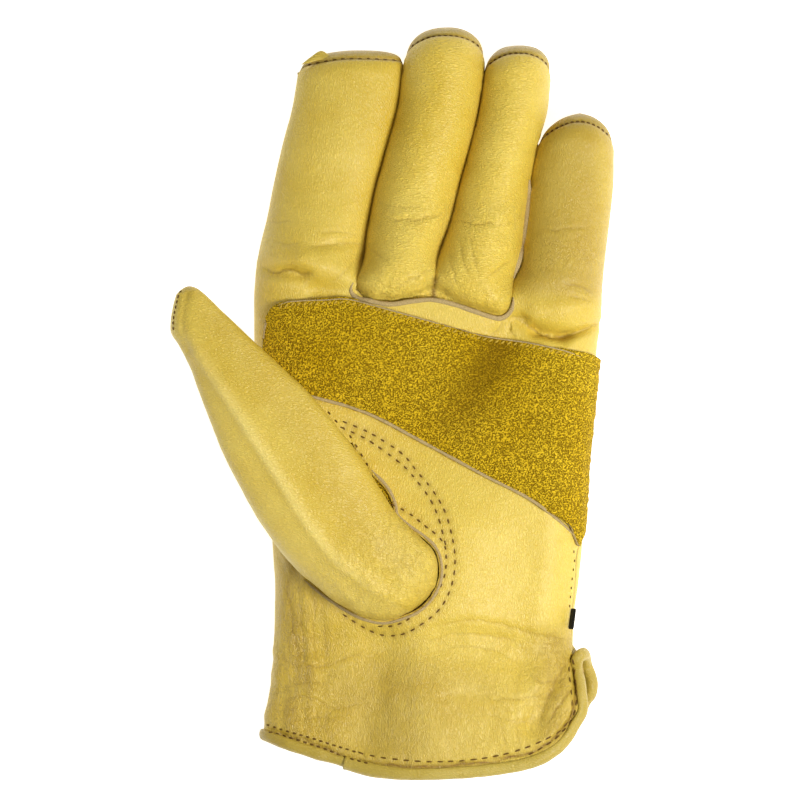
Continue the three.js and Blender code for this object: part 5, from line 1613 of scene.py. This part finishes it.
# Each leather: the grain's direction in degrees, its pitch, the bump's strength and a factor on the dye that
# paints light and shade: above 1 a painted highlight on the finger fronts, below 1 painted shade on the side
# walls and the binding.
LEATHERS = {
    "palm leather": (80, 1800.0, 0.48, 1.0),
    "finger leather": (8, 1600.0, 0.65, 1.10),
    "thumb leather": (12, 1600.0, 0.52, 1.0),
    "back leather": (60, 1700.0, 0.5, 1.0),
    "wall leather": (0, 850.0, 0.5, 0.86),
    "binding leather": (30, 2000.0, 0.5, 0.68),
}
FINISHES = {}


def make_finishes():
    """Makes every finish from the colours of the settings."""
    looks = bpy.context.scene.glove_colours
    groups = {"grain": grain_group(), "dye": dye_group(), "creases": crease_group()}
    for name, values in LEATHERS.items():
        FINISHES[name] = leather_material(name, looks, groups, *values)
    FINISHES["suede"] = suede_material("suede", looks, groups)
    # The light and the dark tone, the fibre's pitch, the roughness and the bump's depth in metres.
    matt = {
        "raw edge": (looks.raw_edge, (0.58, 0.49, 0.31), 2600.0, 0.9, 0.0003),
        "flesh side": ((0.82, 0.72, 0.42), (0.66, 0.55, 0.28), 1800.0, 0.95, 0.0003),
        "dark thread": (looks.thread, (0.30, 0.21, 0.05), 5200.0, 0.7, 0.0001),
        "yellow thread": ((0.84, 0.72, 0.24), (0.62, 0.48, 0.10), 5200.0, 0.6, 0.0001),
        "black tape": (looks.tape, (0.03, 0.03, 0.035), 2400.0, 0.75, 0.0003),
    }
    for name, values in matt.items():
        FINISHES[name] = plain_material(name, *values)


def finish(name):
    """A finish by its name. All are made together, the first time that one is asked for."""
    if not FINISHES:
        make_finishes()
    return FINISHES[name]


# Small pieces laid along paths.
class Ground:
    """Finished surfaces that stitches and edges are laid on, asked from straight above."""

    def __init__(self, *names):
        graph = bpy.context.evaluated_depsgraph_get()
        self.trees = [BVHTree.FromObject(bpy.data.objects[name], graph) for name in names]

    def under(self, points):
        """Places and normals in millimetres on the highest surface under each point."""
        places = []
        normals = []
        for x, y in points:
            best = None
            for tree in self.trees:
                hit = tree.ray_cast(Vector((x * MM, (y + SHIFT_Y) * MM, 0.2)), Vector((0, 0, -1)))
                if hit[0] is not None and (best is None or hit[0].z > best[0].z):
                    best = hit
            if best is None:
                raise RuntimeError(f"no surface under the point {x:.1f}, {y:.1f}")
            places.append((best[0].x / MM, best[0].y / MM - SHIFT_Y, best[0].z / MM))
            normals.append(tuple(best[1]))
        return np.array(places), np.array(normals)


def unit(vectors):
    """The vectors, each with a length of 1."""
    return vectors / np.maximum(1e-9, np.linalg.norm(vectors, axis=-1, keepdims=True))


def ribbon(places, normals, profile, width):
    """A closed profile of (across, up) pairs carried along a path, with its ends closed to a point."""
    along = unit(np.gradient(places, axis=0))
    across = unit(np.cross(along, normals))
    up = np.cross(across, along)
    profile = np.asarray(profile, dtype=float)
    shape = across[:, None] * profile[None, :, :1] + up[:, None] * profile[None, :, 1:]
    offsets = shape * width[:, None, None]
    rings = places[:, None] + offsets
    rings = np.concatenate([rings, rings[:, :1]], axis=1)
    return with_caps(rings)[:, ::-1]


def capsules(places, along, normals, length, width, height, lift):
    """Grains of thread: a small ellipsoid on each place, drawn out along the row."""
    turns = np.linspace(0, 2 * math.pi, 9)
    rise = np.linspace(-math.pi / 2, math.pi / 2, 7)
    ring, bow = np.meshgrid(turns, rise)
    thick = np.cos(bow) ** 0.8
    local = np.stack([np.sin(bow), thick * np.cos(ring), thick * np.sin(ring)], axis=-1)
    local = local * np.array([length / 2, width / 2, height / 2])
    side = unit(np.cross(normals, along))
    ahead = unit(np.cross(side, normals))
    return [
        place + normal * lift + local[..., :1] * a + local[..., 1:2] * b + local[..., 2:] * normal
        for place, a, b, normal in zip(places, ahead, side, normals)
    ]


def smooth_rows(rows, times):
    """Averages each row of an array with its neighbours a few times, and keeps both ends."""
    rows = np.array(rows, dtype=float)
    for _ in range(times):
        rows[1:-1] = 0.25 * rows[:-2] + 0.5 * rows[1:-1] + 0.25 * rows[2:]
    return rows


def stitch_places(path, pitch, ground):
    """Even places along a path laid on the ground, with the way of the path at each."""
    even = smooth_path(path, pitch)
    places, normals = ground.under(even)
    return places, unit(np.gradient(places, axis=0)), normals


class GloveSizes(bpy.types.PropertyGroup):
    """Sizes that a user would change."""

    leather: bpy.props.FloatProperty(
        name="Leather thickness", description="Thickness of the grain leather", default=0.0013, min=0.0005,
        max=0.003, unit="LENGTH", precision=4)
    suede: bpy.props.FloatProperty(
        name="Suede thickness", description="Thickness of the patch", default=0.0012, min=0.0005, max=0.003,
        unit="LENGTH", precision=4)
    relief: bpy.props.FloatProperty(
        name="Crease depth", description="Depth of the creases and soft swells, as a share of the usual",
        default=1.0, min=0.0, max=2.0)
    stitch: bpy.props.FloatProperty(
        name="Stitch length", description="Length of thread at each stitch", default=0.0019, min=0.0008,
        max=0.004, unit="LENGTH", precision=4)
    thread: bpy.props.FloatProperty(
        name="Thread width", description="Width of the sewing thread", default=0.0008, min=0.0003, max=0.002,
        unit="LENGTH", precision=4)


class GloveColours(bpy.types.PropertyGroup):
    """Colours that a user would change, as a picture shows them."""

    leather: bpy.props.FloatVectorProperty(
        name="Leather", description="Dye of the grain leather", subtype="COLOR_GAMMA", size=3,
        default=(0.90, 0.79, 0.33))
    leather_shade: bpy.props.FloatVectorProperty(
        name="Leather, deeper", description="Deeper patches of the dye", subtype="COLOR_GAMMA", size=3,
        default=(0.85, 0.72, 0.22))
    # Painted shade: creases, seam and stitch grooves, the wrinkle net and the marked shaded stretches are
    # blended towards this colour.
    crease: bpy.props.FloatVectorProperty(
        name="Crease", description="Colour at the bottom of creases", subtype="COLOR_GAMMA", size=3,
        default=(0.52, 0.38, 0.06))
    # A pale mark on the thumb: part wear, part painted highlight.
    worn: bpy.props.FloatVectorProperty(
        name="Worn edge", description="Paler leather on the thumb's ridge", subtype="COLOR_GAMMA", size=3,
        default=(0.97, 0.89, 0.55))
    suede: bpy.props.FloatVectorProperty(
        name="Suede", description="Raised nap of the patch", subtype="COLOR_GAMMA", size=3,
        default=(0.92, 0.77, 0.16))
    suede_shade: bpy.props.FloatVectorProperty(
        name="Suede, deeper", description="Flattened nap of the patch", subtype="COLOR_GAMMA", size=3,
        default=(0.84, 0.68, 0.08))
    # Pits between the tufts, partly painted shade; the same colour paints the shade along the patch's valley.
    suede_pit_and_shade: bpy.props.FloatVectorProperty(
        name="Suede, pits", description="Gaps between the tufts of the patch", subtype="COLOR_GAMMA", size=3,
        default=(0.57, 0.43, 0.02))
    raw_edge: bpy.props.FloatVectorProperty(
        name="Cut edge", description="Undyed cut edge of the leather", subtype="COLOR_GAMMA", size=3,
        default=(0.80, 0.71, 0.50))
    thread: bpy.props.FloatVectorProperty(
        name="Thread", description="Dark sewing thread", subtype="COLOR_GAMMA", size=3,
        default=(0.46, 0.33, 0.07))
    tape: bpy.props.FloatVectorProperty(
        name="Tape", description="Folded tape in the side seam", subtype="COLOR_GAMMA", size=3,
        default=(0.10, 0.10, 0.11))


class GLOVE_OT_palm(bpy.types.Operator):
    """Makes the palm with the fronts of the index and little fingers, open under the thumb"""

    bl_idname = "glove.palm"
    bl_label = "Palm leather"

    def execute(self, context):
        sizes = context.scene.glove_sizes
        obj = mesh_object("palm_leather", palm_grids())
        emboss(obj, palm_relief, sizes.relief)
        cut_away(obj, thumb_hole)
        snap_rim(obj, THUMB_EDGE, 1.3)
        thicken(obj, sizes.leather, [finish("palm leather"), finish("flesh side")])
        finish_piece(obj, "grain_leather", "palm_panel")
        return {"FINISHED"}


class GLOVE_OT_back(bpy.types.Operator):
    """Makes the back of the hand, which wraps over the fingertips"""

    bl_idname = "glove.back"
    bl_label = "Back leather"

    def execute(self, context):
        sizes = context.scene.glove_sizes
        obj = mesh_object("back_leather", back_grids())
        emboss(obj, back_relief, sizes.relief)
        thicken(obj, sizes.leather, [finish("back leather"), finish("flesh side")])
        finish_piece(obj, "grain_leather", "back_panel")
        return {"FINISHED"}


class GLOVE_OT_finger_fronts(bpy.types.Operator):
    """Makes the separate fronts of the middle and ring fingers"""

    bl_idname = "glove.finger_fronts"
    bl_label = "Finger fronts"

    def execute(self, context):
        sizes = context.scene.glove_sizes
        for finger in (MIDDLE, RING):
            obj = mesh_object(f"{finger.name}_front_leather", [finger_grid(finger)])
            emboss(obj, finger_relief(finger.name), sizes.relief)
            # The finger fronts' leather is lightened: a painted highlight.
            thicken(obj, sizes.leather, [finish("finger leather"), finish("flesh side")])
            finish_piece(obj, "grain_leather", f"{finger.name}_finger_front")
        return {"FINISHED"}


class GLOVE_OT_walls(bpy.types.Operator):
    """Makes the side walls between the fingers"""

    bl_idname = "glove.walls"
    bl_label = "Finger side walls"

    def execute(self, context):
        slots = (("slot1", INDEX, MIDDLE), ("slot2", MIDDLE, RING), ("slot3", RING, LITTLE))
        for slot, before, after in slots:
            name = f"fourchette_{before.name}_{after.name}"
            obj = mesh_object(f"{name}_leather", fourchette_grids(slot, before, after))
            # The walls' leather is darkened: painted shade in the slots.
            thicken(obj, 0.0012, [finish("wall leather"), finish("flesh side")])
            finish_piece(obj, "grain_leather", name)
        return {"FINISHED"}


class GLOVE_OT_thumb(bpy.types.Operator):
    """Makes the thumb with its ridge, open into the palm at its base"""

    bl_idname = "glove.thumb"
    bl_label = "Thumb"

    def execute(self, context):
        sizes = context.scene.glove_sizes
        obj = mesh_object("thumb_leather", [thumb_grid()])
        emboss(obj, thumb_relief, sizes.relief)
        cut_away(obj, lambda p: (p[:, 2] < palm_front(p[:, 0], p[:, 1]) - 3) & (p[:, 1] < 20))
        thicken(obj, sizes.leather, [finish("thumb leather"), finish("flesh side")])
        finish_piece(obj, "grain_leather", "thumb")
        return {"FINISHED"}


class GLOVE_OT_thumb_details(bpy.types.Operator):
    """Makes the strip of leather that shows beside the thumb, and the folded tag at the index fingertip"""

    bl_idname = "glove.small_leather"
    bl_label = "Gusset and tag"

    def execute(self, context):
        obj = mesh_object("thumb_gusset", [gusset_grid()])
        thicken(obj, 0.0008, [finish("suede"), finish("suede")])
        finish_piece(obj, "grain_leather")
        obj = mesh_object("index_tip_tag", [tag_grid()])
        obj.data.materials.append(finish("wall leather"))
        finish_piece(obj, "grain_leather")
        return {"FINISHED"}


class GLOVE_OT_patch(bpy.types.Operator):
    """Makes the suede patch across the palm"""

    bl_idname = "glove.patch"
    bl_label = "Suede patch"

    def execute(self, context):
        sizes = context.scene.glove_sizes
        obj = mesh_object("palm_patch_suede", [patch_grid()])
        emboss(obj, patch_relief)
        thicken(obj, sizes.suede, [finish("suede"), finish("raw edge")])
        finish_piece(obj, "suede", "palm_patch")
        return {"FINISHED"}


class GLOVE_OT_binding(bpy.types.Operator):
    """Makes the rolled binding round the cuff and up both sides of the slit"""

    bl_idname = "glove.binding"
    bl_label = "Cuff binding"

    def execute(self, context):
        obj = mesh_object("cuff_binding_leather", [binding_grid()])
        emboss(obj, binding_relief)
        # The binding's leather is darkened: painted shade on the roll that faces down and out.
        obj.data.materials.append(finish("binding leather"))
        finish_piece(obj, "binding_leather", "cuff_binding")
        return {"FINISHED"}


class GLOVE_OT_tab(bpy.types.Operator):
    """Makes the plain folded tape in the side seam"""

    bl_idname = "glove.tab"
    bl_label = "Side tab"

    def execute(self, context):
        obj = mesh_object("side_tab_tape", [tab_grid()])
        obj.data.materials.append(finish("black tape"))
        finish_piece(obj, "black_tape", "side_tab")
        return {"FINISHED"}


class GLOVE_OT_raw_edges(bpy.types.Operator):
    """Makes the cut edges that show: round the thumb's opening, at the finger bases and along the patch"""

    bl_idname = "glove.raw_edges"
    bl_label = "Cut edges"

    def execute(self, context):
        palm = Ground("palm_leather")
        patch = Ground("palm_patch_suede", "palm_leather")
        fronts = Ground("palm_leather", "ring_front_leather")
        profile = ((-0.62, -0.45), (0.62, -0.45), (0.7, 0.05), (0.35, 0.34), (-0.35, 0.34), (-0.7, 0.05))
        # Each edge: its path, how far it lies to one side of it, what it lies on, and its size.
        runs = (
            ("cut_edge_thumb", THUMB_EDGE[2:-1], 0.9, palm, 0.75),
            ("cut_edge_fingers", BASE_EDGE, 0.5, palm, 1.15),
            ("cut_edge_slot", SLOT_EDGE, 0.0, fronts, 1.45),
            ("cut_edge_patch", PATCH_LOWER, -0.35, patch, 0.75),
            ("cut_edge_patch_top", PATCH_RIM, 0.1, patch, 0.34),
        )
        for name, path, aside, ground, size in runs:
            even = smooth_path(path, 0.5)
            ahead = unit(np.gradient(even, axis=0))
            even = even + aside * np.stack([ahead[:, 1], -ahead[:, 0]], axis=1)
            places, normals = ground.under(even)
            # The edge in the slot stands proud of the ring finger and faces up.
            raised, upright = (1.1, 3.0) if ground is fronts else (0.0, 0.0)
            places = smooth_rows(places, 2) + np.array([0.0, 0.0, raised])
            normals = unit(smooth_rows(normals, 3) + np.array([0.0, 0.0, upright]))
            from_end = np.minimum(np.arange(len(even)), np.arange(len(even))[::-1])
            width = size * (1 + 0.12 * noise(even[:, 0], even[:, 1], 2.5, 61))
            width = width * (0.3 + 0.7 * ease(from_end / 9))
            obj = mesh_object(name, [ribbon(places, normals, profile, width)])
            obj.data.materials.append(finish("raw edge"))
            finish_piece(obj, "suede" if "patch" in name else "grain_leather")
        return {"FINISHED"}


class GLOVE_OT_stitches(bpy.types.Operator):
    """Makes every visible row of stitches as small grains of thread"""

    bl_idname = "glove.stitches"
    bl_label = "Stitches"

    def execute(self, context):
        sizes = context.scene.glove_sizes
        length, width = sizes.stitch / MM, sizes.thread / MM
        palm = Ground("palm_leather")
        whole = Ground("palm_leather", "back_leather", "middle_front_leather", "ring_front_leather")
        thumb = Ground("thumb_leather", "palm_leather")
        rolled = Ground("cuff_binding_leather", "palm_leather")
        patch = Ground("palm_patch_suede", "palm_leather")
        # Each row: its paths, pitch and ground, the stitches' length and width as shares, and their lift.
        rows = (
            ("stitches_thumb_a", (ROW_A,), 3.6, palm, 1.1, 0.9, -0.10),
            ("stitches_thumb_b", (ROW_B,), 3.6, palm, 1.1, 0.9, -0.10),
            ("stitches_thumb_c", (ROW_C,), 3.3, palm, 1.0, 0.9, -0.10),
            ("stitches_thumb_edge", (THUMB_EDGE_ROW,), 3.4, thumb, 0.7, 0.9, -0.05),
            ("stitches_thumb_tip", (THUMB_TIP_ROW,), 1.9, thumb, 0.65, 1.1, -0.05),
            ("stitches_cuff", (CUFF_ROW,), 3.8, palm, 1.4, 0.85, -0.08),
            ("stitches_cuff_left", (CUFF_ROW_LEFT,), 2.4, palm, 0.75, 0.9, -0.05),
            ("stitches_cuff_fold", (FOLD_ROW_RIGHT,), 3.6, rolled, 1.1, 0.8, 0.0),
            ("stitches_cuff_fold_left", (FOLD_ROW,), 2.5, rolled, 0.75, 0.9, 0.0),
            ("stitches_tip_index", [tip_row(INDEX)], 2.9, whole, 0.8, 1.25, -0.05),
            ("stitches_tips", [tip_row(finger) for finger in FINGERS[1:]], 1.9, whole, 0.68, 1.15, -0.05),
            ("stitches_side", (SIDE_ROW,), 3.2, palm, 0.55, 0.8, -0.05),
        )
        for name, paths, pitch, ground, long, wide, lift in rows:
            grains = []
            for path in paths:
                places, along, normals = stitch_places(path, pitch, ground)
                grains += capsules(places, along, normals, length * long, width * wide, width * 0.8, lift)
            obj = mesh_object(name, grains, 0.001)
            obj.data.materials.append(finish("dark thread"))
            finish_piece(obj, "binding_leather" if "cuff" in name else "grain_leather")
        places, along, normals = stitch_places(PATCH_UPPER, 2.1, patch)
        slant = unit(along + 0.9 * np.cross(normals, along))
        obj = mesh_object("stitches_patch", capsules(places, slant, normals, 1.7, 0.75, 0.7, 0.0), 0.001)
        obj.data.materials.append(finish("yellow thread"))
        finish_piece(obj, "suede")
        return {"FINISHED"}


class GLOVE_OT_stage(bpy.types.Operator):
    """Makes the pale floor, the soft lights and the camera"""

    bl_idname = "glove.stage"
    bl_label = "Studio stage"

    def execute(self, context):
        scene = context.scene
        scene.view_settings.view_transform = "Standard"
        scene.view_settings.look = "None"
        reach, level = 900.0, -0.5
        near = [[-reach, -reach, level], [reach, -reach, level]]
        far = [[-reach, reach, level], [reach, reach, level]]
        floor = mesh_object("floor", [np.array([near, far])])
        white = (1.0, 1.0, 1.0, 1.0)
        material, _, shader, _ = start_material("pale floor")
        shader.inputs["Base Color"].default_value = (0.93, 0.93, 0.93, 1.0)
        shader.inputs["Roughness"].default_value = 0.9
        shader.inputs["Emission Color"].default_value = white
        shader.inputs["Emission Strength"].default_value = 0.8
        floor.data.materials.append(material)
        world = scene.world or bpy.data.worlds.new("studio")
        scene.world = world
        world.use_nodes = True
        background = world.node_tree.nodes["Background"]
        background.inputs["Color"].default_value = white
        background.inputs["Strength"].default_value = 0.26
        # Each light: its place, its size and its power.
        lights = (
            ("key", (0.36, -0.14, 0.58), 0.24, 4.6),
            ("top", (0.15, 0.45, 0.9), 0.6, 0.8),
            ("fill", (-0.8, -0.05, 0.42), 0.5, 0.9),
        )
        for name, place, size, power in lights:
            lamp = bpy.data.lights.new(name, "AREA")
            lamp.size = size
            lamp.energy = power
            obj = bpy.data.objects.new(name, lamp)
            obj.location = place
            obj.rotation_euler = (Vector((0, 0, 0)) - Vector(place)).to_track_quat("-Z", "Y").to_euler()
            scene.collection.objects.link(obj)
        lens = bpy.data.cameras.new("camera")
        lens.lens = 500.0
        lens.sensor_width = 36.0
        lens.clip_end = 10.0
        camera = bpy.data.objects.new("camera", lens)
        camera.location = (0.00255, 0.00112, 3.792)
        scene.collection.objects.link(camera)
        scene.camera = camera
        return {"FINISHED"}


class GLOVE_PT_panel(bpy.types.Panel):
    """Lists the sizes, the colours and the pieces"""

    bl_idname = "GLOVE_PT_panel"
    bl_label = "Leather driver glove"
    bl_space_type = "VIEW_3D"
    bl_region_type = "UI"
    bl_category = "Glove"

    def draw(self, context):
        layout = self.layout
        for group in (context.scene.glove_sizes, context.scene.glove_colours):
            for key in type(group).__annotations__:
                layout.prop(group, key)
        for operator in OPERATORS:
            layout.operator(operator.bl_idname)


OPERATORS = (
    GLOVE_OT_palm,
    GLOVE_OT_back,
    GLOVE_OT_finger_fronts,
    GLOVE_OT_walls,
    GLOVE_OT_thumb,
    GLOVE_OT_thumb_details,
    GLOVE_OT_patch,
    GLOVE_OT_binding,
    GLOVE_OT_tab,
    GLOVE_OT_raw_edges,
    GLOVE_OT_stitches,
    GLOVE_OT_stage,
)
CLASSES = (GloveSizes, GloveColours) + OPERATORS + (GLOVE_PT_panel,)


def register():
    """Registers the add-on's classes and its two groups of settings."""
    for cls in CLASSES:
        bpy.utils.register_class(cls)
    bpy.types.Scene.glove_sizes = bpy.props.PointerProperty(type=GloveSizes)
    bpy.types.Scene.glove_colours = bpy.props.PointerProperty(type=GloveColours)


def unregister():
    """Takes the settings and the classes away again."""
    del bpy.types.Scene.glove_sizes
    del bpy.types.Scene.glove_colours
    for cls in reversed(CLASSES):
        bpy.utils.unregister_class(cls)


def main():
    """Builds every piece in order."""
    register()
    for operator in OPERATORS:
        group, name = operator.bl_idname.split(".")
        getattr(getattr(bpy.ops, group), name)()


if __name__ == "__main__":
    main()
